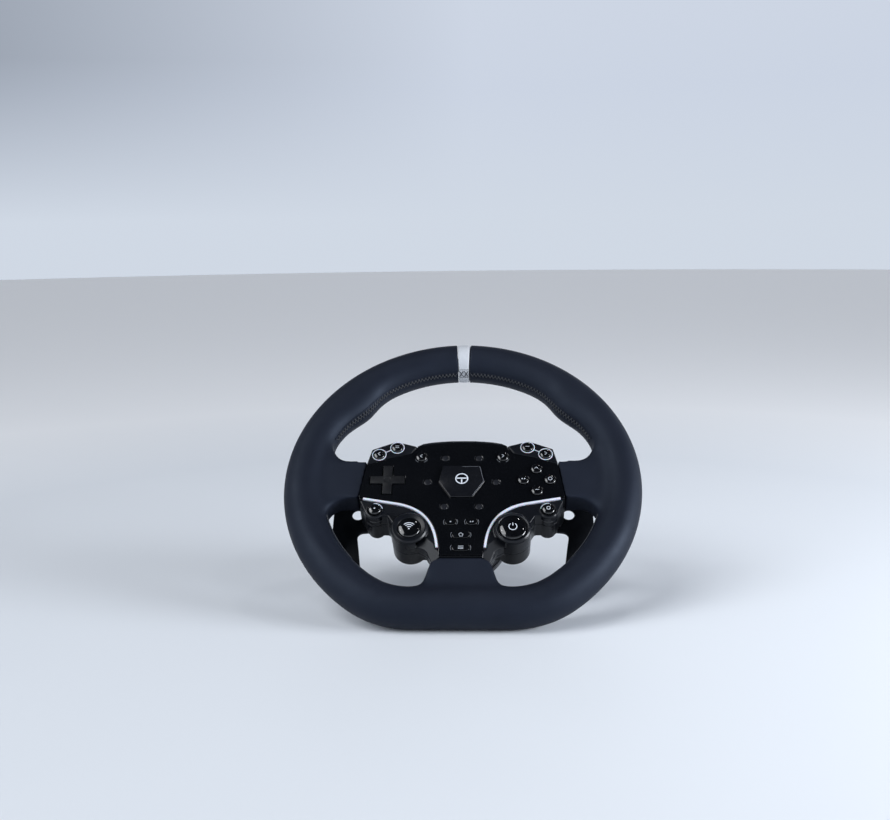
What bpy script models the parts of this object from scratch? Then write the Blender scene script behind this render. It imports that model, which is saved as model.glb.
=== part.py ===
"""Racing wheel: a flat-bottomed sim-racing wheel with a button module, shift paddles and a
quick release.

The wheel is drawn in its own plane: x to the driver's right, w up the wheel and n out of the
face towards the driver, all in millimetres. The whole wheel then leans back on its quick
release, as it stands on a table: +Z up, +X right, +Y away from the driver.
"""
import math

import bmesh
import bpy

MM = 0.001
GAP = 0.3               # clearance between neighbouring pieces

# Rim
RIM_R = 124.25          # centreline radius of the round part
TUBE_R = 15.75          # radius of the grip's section
FLAT_W = -111.85        # centreline height of the flat bottom
CORNER_R = 63.7         # centreline radius where the round part meets the flat
BULGE = 5.8             # thumb rest on the inside of the rim
BULGE_ANGLE = 41.0      # its place, in degrees above the horizontal
BULGE_SPREAD = 22.0     # its half length along the rim
BAND_HALF = 5.0         # half width of the band at the top of the rim
SPOKE_FRONT, SPOKE_BACK = 9.0, -10.0

# Armature plate inside the grip, and the hub in its middle
RING_HALF = 5.5
PLATE_FRONT, PLATE_BACK = 1.5, -4.0
ARM_SPOKE_HALF = 9.0
HUB_R = 31.0
HUB_BOLT_COUNT = 6
HUB_BOLT_CIRCLE_R = 23.0

# Button module, by height above the wheel's mid plane
SPLIT_N = -1.5          # where the two halves of the housing meet
ROOF_BOTTOM, ROOF_TOP = 6.5, 9.0
PANEL_TOP = 11.0
WING_TOP = 10.6
SHELF_TOP = 10.2
BACK_N = -22.0
WALL = 2.4
BOARD_BOTTOM, BOARD_TOP = 2.0, 3.5
SWITCH_TOP = 4.0

# Pods that stand out below the module
BIG_POD = (39.0, -50.8)
BIG_POD_R, BIG_POD_TOP = 14.0, 12.0
SMALL_POD = (66.2, -32.5)
SMALL_POD_R, SMALL_POD_TOP = 7.6, 10.4
POD_BACK, SMALL_POD_BACK = -18.4, -20.0
ARM_BACK = -5.0         # the arms beside the bottom spoke are shallow
ARM_TOP = (40.2, -0.353, 0.383, 0.853)  # and slope away: n = (a + b x + c w) / d, in mm

# Buttons
CAP_R, CAP_SIDES = 4.35, 12
HOLE_R, HOLE_SIDES = 4.98, 10  # holes in the housing, over the caps' flanges
FLANGE_R = 4.95
RADIO_R, START_R, SMALL_CAP_R = 8.4, 10.4, 4.9
INDICATOR_R = 2.6
POST_R = 3.0            # posts that the housing's screws go through
ACTION_CENTRE = (58.0, -5.2)
ACTION_R = 10.3
PAD_CENTRE = (-57.8, -5.0)
PAD_REACH, PAD_HALF = 13.3, 3.5
PAD_PIVOT_N = 5.3

# Paddles
PADDLE_FRONT, PADDLE_BACK = -29.0, -31.5
HINGE_X, HINGE_N = 56.0, -28.0
LUG_LOW, LUG_HIGH = -17.0, 5.0
PIN_R = 1.3

# Quick release
QR_REACH = 90.3         # rear face, behind the wheel's mid plane
QR_R = 35.0
NECK_R, SOCKET_R, BOSS_R = 25.0, 18.0, 28.0
FLANGE_BACK = -28.0
SOCKET_BOTTOM = -50.0

# The wheel leans back until the quick release's rear edge is level with the flat's underside.
_drop = -FLAT_W - QR_R
LEAN = math.atan2(_drop, QR_REACH) + math.asin(TUBE_R / math.hypot(_drop, QR_REACH))


# ---------------------------------------------------------------- outlines

def arc(cx, cy, radius, start, end, steps):
    """Points on an arc, angles in degrees, both ends included."""
    turns = [math.radians(start + (end - start) * i / steps) for i in range(steps + 1)]
    return [(cx + radius * math.cos(a), cy + radius * math.sin(a)) for a in turns]


def bezier(p0, p1, p2, p3, steps):
    """Points on a cubic curve, both ends included."""
    points = []
    for i in range(steps + 1):
        t = i / steps
        weights = ((1 - t) ** 3, 3 * t * (1 - t) ** 2, 3 * t * t * (1 - t), t ** 3)
        points.append(tuple(sum(k * p[c] for k, p in zip(weights, (p0, p1, p2, p3))) for c in (0, 1)))
    return points


def flip(points):
    """The same outline on the left side, still in the same turning direction."""
    return [(-x, w) for x, w in reversed(points)]


def both_sides(right_half):
    """A closed outline from its right half, listed clockwise from the top."""
    left = [(-x, w) for x, w in reversed(right_half) if abs(x) > 1e-6]
    return right_half + left


def stadium(cx, cy, half_x, half_y, steps=4):
    """An upright rectangle with round ends at left and right."""
    flat = half_x - half_y
    return (arc(cx + flat, cy, half_y, -90, 90, steps * 2)
            + arc(cx - flat, cy, half_y, 90, 270, steps * 2))


def cross(cx, cy, reach, half):
    """A plus sign."""
    corner = [(half, reach), (half, half), (reach, half)]
    points = []
    for quarter in range(4):
        a = -math.pi / 2 * quarter
        for x, y in corner:
            points.append((cx + x * math.cos(a) - y * math.sin(a), cy + x * math.sin(a) + y * math.cos(a)))
    return points


# The light strip's centreline, from the module's side to the foot of the panel.
STRIP_LINE = [(75.8, -22.2)] + bezier((50.0, -27.0), (30.0, -30.8), (19.8, -44.0), (18.0, -66.5), 8)
STRIP_HALF = 0.9

ARCH = [(0.0, 33.6), (8.0, 33.5), (16.0, 33.0), (24.0, 32.2), (31.0, 30.8), (35.5, 28.2)]
WING = [(52.5, 33.3), (71.5, 25.4), (75.0, 11.0)]
BODY = both_sides(ARCH + WING + [
    (79.5, -22.0), (75.6, -29.5), (73.0, -36.5), (56.0, -38.0), (50.0, -48.0), (38.0, -60.0),
    (27.5, -66.0), (25.4, -68.0), (21.6, -76.6), (16.6, -73.9)])


def line_offset(points, distance):
    """An open line moved sideways, to its left when walking along it."""
    result = []
    for i, (x, y) in enumerate(points):
        ax, ay = points[max(i - 1, 0)]
        bx, by = points[min(i + 1, len(points) - 1)]
        length = math.hypot(bx - ax, by - ay)
        result.append((x - (by - ay) / length * distance, y + (bx - ax) / length * distance))
    return result


def strip_edge(distance, corner_x):
    """A line beside the light strip, drawn on to the module's side."""
    line = line_offset(STRIP_LINE, distance)
    (ax, aw), (bx, bw) = line[:2]
    return [(corner_x, aw + (aw - bw) / (ax - bx) * (corner_x - ax))] + line[1:]


def panel_outline():
    """The glossy panel: under the arch, below the wings, above the light strips."""
    inner = strip_edge(-STRIP_HALF - GAP, 79.2)
    inner[-1] = (16.5, -66.5)
    top = [(0.0, 31.4), (12.0, 31.1), (24.0, 29.9), (33.0, 28.2), (40.0, 20.6), (56.0, 16.7), (74.6, 9.9)]
    return both_sides(top + inner + [(16.5, -73.6)])


# ---------------------------------------------------------------- building blocks

def to_mesh(name, bm, sharp=35.0):
    """Closes the bmesh into a mesh in metres, its faces pointing out."""
    bmesh.ops.recalc_face_normals(bm, faces=bm.faces)
    for vert in bm.verts:
        vert.co *= MM
    mesh = bpy.data.meshes.new(name)
    bm.to_mesh(mesh)
    bm.free()
    mesh.shade_smooth()
    mesh.set_sharp_from_angle(angle=math.radians(sharp))
    return mesh


def point(x, w, n):
    """Wheel-plane coordinates to the leaning frame's axes."""
    return (x, -n, w)


def add_prism(bm, outline, n0, n1):
    """An outline of the wheel plane, given depth from n0 to n1."""
    back = [bm.verts.new(point(x, w, n0)) for x, w in outline]
    front = [bm.verts.new(point(x, w, n1)) for x, w in outline]
    count = len(outline)
    for i in range(count):
        j = (i + 1) % count
        bm.faces.new((back[i], back[j], front[j], front[i]))
    bm.faces.new(back)
    bm.faces.new(front)


def add_turned(bm, profile, x=0.0, w=0.0, sides=16):
    """Turns a profile of (radius, n) about an axis along n. Radius 0 closes an end."""
    rings = []
    for radius, n in profile:
        if radius < 1e-6:
            rings.append([bm.verts.new(point(x, w, n))])
            continue
        turns = [2 * math.pi * i / sides for i in range(sides)]
        rings.append([bm.verts.new(point(x + radius * math.cos(a), w + radius * math.sin(a), n))
                      for a in turns])
    closed = len(rings[0]) > 1 and len(rings[-1]) > 1
    pairs = list(zip(rings, rings[1:])) + ([(rings[-1], rings[0])] if closed else [])
    for low, high in pairs:
        for i in range(sides):
            j = (i + 1) % sides
            corners = [low[i % len(low)], low[j % len(low)], high[j % len(high)], high[i % len(high)]]
            unique = list(dict.fromkeys(corners))
            bm.faces.new(unique)


def disc(radius, n0, n1):
    """The profile of a plain disc or rod."""
    return [(0, n0), (radius, n0), (radius, n1), (0, n1)]


def prism(outline, n0, n1):
    """A recipe for one prism, for solids()."""
    return lambda bm: add_prism(bm, outline, n0, n1)


def turned(profile, places=((0, 0),), sides=16):
    """A recipe for a turned solid at each place, for solids()."""
    def build(bm):
        for x, w in places:
            add_turned(bm, profile, x, w, sides)
    return build


def solids(*shapes):
    """A bmesh that holds the solids of several recipes."""
    bm = bmesh.new()
    for shape in shapes:
        shape(bm)
    return bm


class Wheel:
    """Holds the leaning frame and makes the pieces that hang on it."""

    def __init__(self):
        y_front = FLAT_W * math.sin(LEAN) - TUBE_R
        y_back = RIM_R * math.sin(LEAN) + TUBE_R
        self.frame = bpy.data.objects.new("wheel_frame", None)
        bpy.context.scene.collection.objects.link(self.frame)
        self.frame.rotation_euler = (-LEAN, 0, 0)
        self.frame.location = (0, -(y_front + y_back) / 2 * MM, (TUBE_R - FLAT_W * math.cos(LEAN)) * MM)
        self.cutters = 0

    def piece(self, name, bm, material, origin=(0, 0, 0), sharp=35.0):
        """A named piece. Its origin is a point (x, w, n) of the wheel."""
        start = point(*origin)
        bmesh.ops.translate(bm, verts=bm.verts, vec=[-c for c in start])
        obj = bpy.data.objects.new(name, to_mesh(name, bm, sharp))
        bpy.context.scene.collection.objects.link(obj)
        obj.parent = self.frame
        obj.location = [c * MM for c in start]
        obj.data.materials.append(material)
        return obj

    def guide(self, bm):
        """A hidden solid that cuts or adds to another piece."""
        self.cutters += 1
        obj = bpy.data.objects.new(f"guide_{self.cutters:02d}", to_mesh("guide", bm))
        bpy.context.scene.collection.objects.link(obj)
        obj.parent = self.frame
        obj.hide_render = True
        obj.display_type = 'WIRE'
        return obj

    def boolean(self, obj, bm, operation):
        """Adds the guide's solids to the piece or cuts them out. They may overlap each other."""
        modifier = obj.modifiers.new(operation.lower(), 'BOOLEAN')
        modifier.operation = operation
        modifier.use_self = True
        modifier.object = self.guide(bm)

    def join(self, obj, *shapes):
        self.boolean(obj, solids(*shapes), 'UNION')

    def cut(self, obj, *shapes):
        self.boolean(obj, solids(*shapes), 'DIFFERENCE')


def material(name, colour, roughness, metallic=0.0):
    mat = bpy.data.materials.new(name)
    mat.use_nodes = True
    shader = mat.node_tree.nodes["Principled BSDF"]
    shader.inputs["Base Color"].default_value = (*colour, 1)
    shader.inputs["Roughness"].default_value = roughness
    shader.inputs["Metallic"].default_value = metallic
    mat.diffuse_color = (*colour, 1)
    return mat


# ---------------------------------------------------------------- rim

def corner_centre():
    """Centre of the right lower corner's arc, and the angle where the round part ends."""
    w = FLAT_W + CORNER_R
    x = math.sqrt((RIM_R - CORNER_R) ** 2 - w * w)
    return x, w, math.atan2(w, x)


def rim_length():
    """Half the centreline's length, from the top to the middle of the flat."""
    x, _, end = corner_centre()
    return RIM_R * (math.pi / 2 - end) + CORNER_R * (math.pi / 2 + end) + x


def rim_station(s):
    """Centre and outward direction of the rim at a distance s clockwise from the top."""
    side = 1.0 if s >= 0 else -1.0
    s = abs(s)
    cx, cw, end = corner_centre()
    round_length = RIM_R * (math.pi / 2 - end)
    corner_length = CORNER_R * (math.pi / 2 + end)
    if s <= round_length:
        a = math.pi / 2 - s / RIM_R
        x, w, ox, ow = RIM_R * math.cos(a), RIM_R * math.sin(a), math.cos(a), math.sin(a)
    elif s <= round_length + corner_length:
        a = end - (s - round_length) / CORNER_R
        x, w, ox, ow = cx + CORNER_R * math.cos(a), cw + CORNER_R * math.sin(a), math.cos(a), math.sin(a)
    else:
        x, w, ox, ow = cx - (s - round_length - corner_length), FLAT_W, 0.0, -1.0
    return (side * x, w), (side * ox, ow)


def rim_stops(quarter=11, side=7, corner=5, flat=1):
    """Distances along the right half where the rim gets a section, one of them at its widest."""
    _, _, end = corner_centre()
    widest = RIM_R * math.pi / 2
    round_length = RIM_R * (math.pi / 2 - end)
    corner_length = CORNER_R * (math.pi / 2 + end)
    stretches = ((0, widest, quarter), (widest, round_length, side),
                 (round_length, round_length + corner_length, corner),
                 (round_length + corner_length, rim_length(), flat))
    stops = [start + (stop - start) * i / steps for start, stop, steps in stretches for i in range(steps)]
    return stops + [rim_length()]


def grip_section(s, sides=16):
    """The grip's section at s as (outwards, n) pairs, with the thumb rest on its inner side."""
    bump_at = RIM_R * math.radians(90 - BULGE_ANGLE)
    bump = BULGE * math.exp(-((abs(s) - bump_at) / BULGE_SPREAD) ** 2)
    points = []
    for i in range(sides):
        a = 2 * math.pi * i / sides
        inward = max(0.0, -math.cos(a)) ** 2
        points.append(((TUBE_R + bump * inward) * math.cos(a), (TUBE_R + bump * inward) * math.sin(a)))
    return points


def add_sweep(bm, stops, section, closed):
    """Carries a section, a function of s, along the rim."""
    rings = []
    for s in stops:
        (x, w), (ox, ow) = rim_station(s)
        rings.append([bm.verts.new(point(x + ox * d, w + ow * d, n)) for d, n in section(s)])
    pairs = list(zip(rings, rings[1:])) + ([(rings[-1], rings[0])] if closed else [])
    for ring_a, ring_b in pairs:
        for i in range(len(ring_a)):
            j = (i + 1) % len(ring_a)
            bm.faces.new((ring_a[i], ring_a[j], ring_b[j], ring_b[i]))
    if not closed:
        bm.faces.new(rings[0])
        bm.faces.new(rings[-1])


def full_loop():
    """Stops of the whole rim, right side down and left side up."""
    right = rim_stops(7, 5, 4, 1)
    return right + [-s for s in reversed(right[1:-1])]


def channel(margin):
    """The armature ring's section, or the channel around it with a margin."""
    half, n0, n1 = RING_HALF + margin, PLATE_BACK + 0.4 - margin, PLATE_FRONT - 0.4 + margin
    return lambda s: [(-half, n0), (half, n0), (half, n1), (-half, n1)]


def side_spoke():
    """Outline of the right spoke's cover, from inside the rim to the module."""
    return [(120, 46), (106, 46), (105.4, 40), (104.3, 34), (102.6, 28.6), (100.2, 23.4), (96.4, 19.0),
            (90.8, 16.4), (83, 15.0), (74.8, 14.4), (75.5, 10.9), (79.4, -17.2), (80.6, -19.6),
            (88, -19.6), (94.6, -21.2), (100.2, -25.4), (103.6, -31), (105.2, -37), (105.8, -45), (118, -45)]


def bottom_spoke():
    """Outline of the bottom spoke's cover."""
    right = [(0, -74.9), (16.6, -74.9), (21.6, -77.3), (24.4, -84.5), (28.4, -94.4), (33.5, -99.5),
             (41, -101.5), (41, -114), (0, -114)]
    return both_sides(right)


def arm_spokes(margin):
    """Outlines of the armature's three spokes."""
    half = ARM_SPOKE_HALF + margin
    right = [(20, half - 2), (RIM_R, half - 2), (RIM_R, -half - 2), (20, -half - 2)]
    foot = [(-half, -20), (half, -20), (half, FLAT_W), (-half, FLAT_W)]
    return [right, flip(right), foot]


def rim_loop(section):
    """A recipe for a closed ring along the whole rim."""
    return lambda bm: add_sweep(bm, full_loop(), section, closed=True)


def make_rim(wheel, leather, white, metal):
    """The armature, the grip around it and the band at the top."""
    channels = [prism(outline, PLATE_BACK + 0.2 - GAP, PLATE_FRONT - 0.2 + GAP) for outline in arm_spokes(GAP)]
    stops = [BAND_HALF + GAP] + rim_stops()[1:]
    stops += [-s for s in reversed(stops[:-1])]
    grip = wheel.piece("rim_grip", solids(lambda bm: add_sweep(bm, stops, grip_section, closed=False)),
                       leather, sharp=50)
    covers = (side_spoke(), flip(side_spoke()), bottom_spoke())
    wheel.join(grip, *[prism(outline, SPOKE_BACK, SPOKE_FRONT) for outline in covers])
    wheel.cut(grip, rim_loop(channel(GAP)), *channels)

    stops = [-BAND_HALF, 0, BAND_HALF]
    band = wheel.piece("centre_band", solids(lambda bm: add_sweep(bm, stops, grip_section, closed=False)),
                       white, sharp=50)
    wheel.cut(band, rim_loop(channel(GAP)))

    armature = wheel.piece("rim_armature", solids(turned(disc(HUB_R, PLATE_BACK, PLATE_FRONT), sides=32)), metal)
    bars = [prism(outline, PLATE_BACK + 0.2, PLATE_FRONT - 0.2) for outline in arm_spokes(0)]
    wheel.join(armature, rim_loop(channel(0)), *bars)
    bolt_hole = [(0, -9), (2.6, -9), (2.6, -1.6), (4.4, -1.6), (4.4, 9), (0, 9)]
    wheel.cut(armature, turned(bolt_hole, hub_bolt_places(), 12))


def hub_bolt_places():
    """Centres of the bolts that hold the quick release to the armature."""
    return arc(0, 0, HUB_BOLT_CIRCLE_R, 15, 375, HUB_BOLT_COUNT)[:-1]


# ---------------------------------------------------------------- places of the controls

def round_buttons():
    """Every small round button: name to its centre and the surface it stands in."""
    places = {}
    for side, mark in ((-1, "left"), (1, "right")):
        places[f"wing_button_outer_{mark}"] = (side * 65.5, 19.7, WING_TOP)
        places[f"wing_button_inner_{mark}"] = (side * 51.5, 26.5, WING_TOP)
        places[f"page_button_{mark}"] = (side * 32.0, 17.0, PANEL_TOP)
    for i, mark in enumerate(("right", "top", "left", "bottom")):
        a = math.pi / 2 * i
        centre = (ACTION_CENTRE[0] + ACTION_R * math.cos(a), ACTION_CENTRE[1] + ACTION_R * math.sin(a))
        places[f"action_button_{mark}"] = (*centre, PANEL_TOP)
    return places


def flat_keys():
    """The flat keys at the foot of the panel: name to centre and half sizes."""
    return {
        "select_key_left": (-8.0, -44.0, 4.3, 2.8),
        "select_key_right": (8.0, -44.0, 4.3, 2.8),
        "home_key": (0.0, -55.6, 6.6, 2.8),
        "menu_key": (0.0, -67.0, 6.6, 2.8),
    }


def screw_places():
    """Centres of the screws that join the two halves of the housing."""
    return [(58.0, 15.9), (-58.0, 15.9), (49.0, -24.2), (-49.0, -24.2)]


def indicator_places():
    """Centres of the six small lights around the badge."""
    return arc(0, -7.0, 26.6, 0, 360, 6)[:-1]


def mirrored(place):
    """A place and its mirror image on the left."""
    return [place, (-place[0], place[1])]


# ---------------------------------------------------------------- housing

def core_outline():
    """The raised middle that carries the panel and the light strips."""
    outer = line_offset(STRIP_LINE, STRIP_HALF + GAP)
    outer[-1] = (19.4, -67.5)
    top = ARCH[:-1] + [(34.4, 28.4), (37.0, 27.0), (60.0, 25.0), (72.5, 20.0), (74.9, 11.0)]
    return both_sides(top + [(79.0, -21.0)] + outer[1:] + [(16.6, -73.9)])


def wing_outline():
    """The right wing, which carries two buttons."""
    return [(35.5, 28.2)] + WING + [(74.5, 10.4), (56.2, 17.2), (40.4, 21.1)]


def bezel_outline():
    """The edge of the housing that shows above the panel, as an arched band."""
    outer = ARCH[:-1] + [(36.6, 27.6)]
    inner = [(33.4, 28.5), (24.0, 30.3), (12.0, 31.5), (0.0, 31.8)]
    return outer + inner + flip(inner[:-1]) + flip(outer[1:])


def shelf_outline():
    """The right shelf below the light strip, which carries the pods."""
    outer = strip_edge(STRIP_HALF + GAP, 78.7)
    strip_side = outer[:-1] + [(19.3, -66.4)]
    return strip_side + [(20.0, -70.0), (25.4, -68.0), (27.5, -66.0), (38.0, -60.0), (50.0, -48.0),
                         (56.0, -38.0), (73.0, -36.5), (75.6, -29.5)]


def foot_outline():
    """The foot of the module, above the bottom spoke."""
    return both_sides([(0.0, -64.0), (19.0, -64.0), (25.4, -68.0), (21.6, -76.6), (16.6, -73.9)])


def pocket_outline():
    """The hollow inside the housing, under the panel."""
    return both_sides([
        (0.0, 31.0), (16.0, 30.6), (24.0, 29.8), (33.5, 25.8), (38.5, 27.6), (52.4, 32.2), (70.6, 24.6),
        (73.4, 11.0), (77.2, -21.8), (56.0, -27.6), (46.0, -30.5), (33.0, -37.5), (25.5, -47.0),
        (21.0, -58.0), (18.8, -68.0), (15.2, -71.2)])


def key_holes(n0, n1, radius, sides):
    """Recipes for the openings of the buttons, keys, direction pad and indicators."""
    places = [(x, w) for x, w, _ in round_buttons().values()]
    keys = [prism(stadium(x, w, half_x + GAP, half_w + GAP, 3), n0, n1)
            for x, w, half_x, half_w in flat_keys().values()]
    pad = prism(cross(*PAD_CENTRE, PAD_REACH + 0.7, PAD_HALF + 0.7), n0, n1)
    lights = turned(disc(INDICATOR_R + GAP, n0, n1), indicator_places(), 8)
    return [turned(disc(radius, n0, n1), places, sides), pad, lights] + keys


def spoke_slots():
    """Recipes for the slots where the armature's spokes pass through the walls."""
    return [prism(outline, PLATE_BACK - GAP, PLATE_FRONT + GAP) for outline in arm_spokes(GAP)]


def arm_wedge(bm):
    """The space above the two arms' slanting fronts."""
    level, along_x, along_w, scale = ARM_TOP
    outline = [(16.0, -57.0), (34.0, -57.0), (34.0, -82.0), (16.0, -82.0)]
    for side in (-1, 1):
        lower, upper = [], []
        for x, w in outline:
            lower.append(bm.verts.new(point(side * x, w, (level + along_x * x + along_w * w) / scale)))
            upper.append(bm.verts.new(point(side * x, w, 30.0)))
        for i in range(4):
            j = (i + 1) % 4
            bm.faces.new((lower[i], lower[j], upper[j], upper[i]))
        bm.faces.new(lower)
        bm.faces.new(upper)


def slab(n0, n1):
    """A recipe for a block far wider than the wheel, to trim with."""
    far = 200.0
    return prism([(-far, -far), (far, -far), (far, far), (-far, far)], n0, n1)


def make_front_housing(wheel, plastic):
    """The half that faces the driver. Its solids start at staggered depths and are trimmed level."""
    split = SPLIT_N + GAP / 2
    housing = wheel.piece("front_housing", solids(prism(core_outline(), split - 2.0, ROOF_TOP)), plastic)
    big = disc(BIG_POD_R, split - 3.6, BIG_POD_TOP)
    small = [(0, split - 3.9), (SMALL_POD_R - 0.6, split - 3.9), (SMALL_POD_R - 0.6, 3.0),
             (SMALL_POD_R, 5.0), (SMALL_POD_R, SMALL_POD_TOP - 1.2), (SMALL_POD_R - 1.2, SMALL_POD_TOP),
             (0, SMALL_POD_TOP)]
    wheel.join(housing,
               prism(wing_outline(), split - 2.3, WING_TOP), prism(flip(wing_outline()), split - 2.3, WING_TOP),
               prism(bezel_outline(), split - 2.6, WING_TOP + 0.2),
               prism(shelf_outline(), split - 2.9, SHELF_TOP), prism(flip(shelf_outline()), split - 2.9, SHELF_TOP),
               prism(foot_outline(), split - 3.2, ROOF_TOP - 0.2),
               turned(big, mirrored(BIG_POD), 20), turned(small, mirrored(SMALL_POD)))
    wheel.cut(housing, slab(-60.0, split), prism(pocket_outline(), -50.0, ROOF_BOTTOM),
              turned(disc(BIG_POD_R - WALL, -40.0, BIG_POD_TOP - 3.5), mirrored(BIG_POD), 20),
              turned(disc(SMALL_POD_R - 2.0, -30.0, SMALL_POD_TOP - 3.0), mirrored(SMALL_POD)))
    wheel.join(housing, turned(disc(POST_R, split, ROOF_BOTTOM + 1.0), screw_places(), 8))
    wheel.cut(housing, *key_holes(ROOF_BOTTOM - 3.1, WING_TOP + 3, HOLE_R, HOLE_SIDES),
              turned(disc(1.6, -60, ROOF_BOTTOM - 1.0), screw_places(), 8),
              turned(disc(START_R + GAP + 0.1, 2.0, BIG_POD_TOP + 5), [BIG_POD], 20),
              turned(disc(RADIO_R + GAP + 0.1, 2.0, BIG_POD_TOP + 5), mirrored(BIG_POD)[1:], 20),
              turned(disc(SMALL_CAP_R + GAP, 2.0, SMALL_POD_TOP + 5), mirrored(SMALL_POD)),
              arm_wedge, *spoke_slots())


def make_rear_housing(wheel, plastic):
    """The half behind the armature, with the backs of the pods and the paddles' lugs."""
    split = SPLIT_N - GAP / 2
    housing = wheel.piece("rear_housing", solids(prism(BODY, BACK_N, split + 2.0)), plastic)
    lower = [(-90, -26.5), (-31.0, -26.5), (-22.5, -58.0), (-26.0, -90.0), (-90, -90)]
    arm = [(16.9, -60.0), (60.0, -60.0), (60.0, -90.0), (16.9, -90.0)]
    wheel.cut(housing, prism(lower, -60.0, POD_BACK + 0.9), prism(flip(lower), -60.0, POD_BACK + 0.9),
              prism(arm, -60.0, ARM_BACK), prism(flip(arm), -60.0, ARM_BACK))
    big = [(0, POD_BACK), (BIG_POD_R - 1.6, POD_BACK), (BIG_POD_R - 0.5, POD_BACK + 1.2),
           (BIG_POD_R - 0.2, split + 2.3), (0, split + 2.3)]
    small = [(0, SMALL_POD_BACK), (SMALL_POD_R - 1.8, SMALL_POD_BACK), (SMALL_POD_R - 0.8, SMALL_POD_BACK + 1.2),
             (SMALL_POD_R - 0.5, split + 2.6), (0, split + 2.6)]
    wheel.join(housing, turned(big, mirrored(BIG_POD), 20), turned(small, mirrored(SMALL_POD)))
    wheel.cut(housing, slab(split, 60.0), prism(pocket_outline(), BACK_N + 5.5, 50.0),
              turned(disc(BIG_POD_R - 0.6 - WALL, POD_BACK + 4.0, 40.0), mirrored(BIG_POD), 20),
              turned(disc(SMALL_POD_R - 2.8, SMALL_POD_BACK + 4.0, 30.0), mirrored(SMALL_POD)))
    lugs = [prism(rectangle(x, w, 3.4, 2.0), HINGE_N - 3.4, BACK_N + 1.0)
            for x in (-HINGE_X, HINGE_X) for w in (LUG_LOW, LUG_HIGH)]
    wheel.join(housing, turned(disc(POST_R, BACK_N + 4.0, split), screw_places(), 8),
               turned(disc(2.4, POD_BACK + 1.0, split), mirrored(BIG_POD) + mirrored(SMALL_POD), 6), *lugs)
    sink = [(0, -60.0), (2.9, -60.0), (2.9, BACK_N + 2.4), (1.5, BACK_N + 2.4), (1.5, 60.0), (0, 60.0)]
    wheel.cut(housing, *[hinge_rod(x, PIN_R + GAP, LUG_LOW - 5, LUG_HIGH + 5) for x in (-HINGE_X, HINGE_X)],
              turned(disc(BOSS_R + GAP, -60.0, 60.0), sides=28), turned(sink, screw_places(), 8), *spoke_slots())


def rectangle(x, w, half_x, half_w):
    """A rectangle about a centre."""
    return [(x - half_x, w - half_w), (x + half_x, w - half_w), (x + half_x, w + half_w), (x - half_x, w + half_w)]


def badge_outline():
    """The plaque in the middle of the panel."""
    return both_sides([(0, 7.8), (14.6, 7.8), (17.9, -7.0), (8.6, -21.6)])


def make_panel(wheel, gloss, trim, satin):
    panel = wheel.piece("face_panel", solids(prism(panel_outline(), ROOF_TOP + GAP, PANEL_TOP)), gloss)
    wheel.cut(panel, *key_holes(ROOF_TOP - 3, PANEL_TOP + 3, CAP_R + GAP, CAP_SIDES))
    wheel.piece("centre_badge", solids(prism(badge_outline(), PANEL_TOP + GAP, PANEL_TOP + 1.4)), satin)
    line = line_offset(STRIP_LINE, STRIP_HALF) + list(reversed(line_offset(STRIP_LINE, -STRIP_HALF)))
    for outline, mark in ((line, "right"), (flip(line), "left")):
        wheel.piece(f"light_strip_{mark}", solids(prism(outline, ROOF_TOP + GAP, PANEL_TOP + 0.3)), trim)


def make_light_rings(wheel, white):
    """The light rings around each wing's two buttons, joined by a short bar."""
    n0, n1 = WING_TOP + GAP, WING_TOP + GAP + 0.4
    ring_inner, ring_outer = CAP_R + 0.5, CAP_R + 1.6
    for mark in ("left", "right"):
        a = round_buttons()[f"wing_button_outer_{mark}"]
        b = round_buttons()[f"wing_button_inner_{mark}"]
        length = math.hypot(b[0] - a[0], b[1] - a[1])
        ux, uw = (b[0] - a[0]) / length, (b[1] - a[1]) / length
        near, far, half = ring_outer - 0.6, length - ring_outer + 0.6, 0.45
        bar = [(a[0] + ux * d - uw * h, a[1] + uw * d + ux * h)
               for d, h in ((near, -half), (far, -half), (far, half), (near, half))]
        profile = [(ring_inner, n0), (ring_outer, n0), (ring_outer, n1 + 0.05), (ring_inner, n1 + 0.05)]
        ring = wheel.piece(f"wing_light_ring_{mark}", solids(prism(bar, n0, n1)), white)
        wheel.join(ring, turned(profile, [a[:2], b[:2]], 16))


# ---------------------------------------------------------------- electronics

def board_outline():
    """The circuit board, which fills the pocket."""
    return both_sides([
        (0.0, 28.0), (30.0, 26.0), (40.0, 24.0), (52.3, 30.0), (68.6, 23.0), (71.7, 10.0), (75.5, -20.6),
        (56.0, -25.8), (44.0, -29.0), (31.0, -36.0), (23.6, -47.0), (19.6, -58.0), (16.0, -70.2)])


def make_electronics(wheel, green, clear):
    board = wheel.piece("main_board", solids(prism(board_outline(), BOARD_BOTTOM, BOARD_TOP)), green)
    switches = [(x, w) for x, w, _ in round_buttons().values()]
    switches += [(x, w) for x, w, _, _ in flat_keys().values()]
    wheel.join(board, turned(disc(1.8, BOARD_BOTTOM + 0.5, SWITCH_TOP), switches, 4))
    wheel.cut(board, turned(disc(POST_R + GAP, -9, 9), screw_places(), 8))

    low, high = ROOF_BOTTOM - 1.5, ROOF_BOTTOM - GAP
    ring = turned([(25.2, low), (28.0, low), (28.0, high), (25.2, high)], [(0, -7.0)], 18)
    guide = wheel.piece("indicator_light_guide", solids(ring), clear)
    wheel.join(guide, turned(disc(INDICATOR_R, low + 0.3, PANEL_TOP - 0.1), indicator_places(), 8))


# ---------------------------------------------------------------- controls

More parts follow.
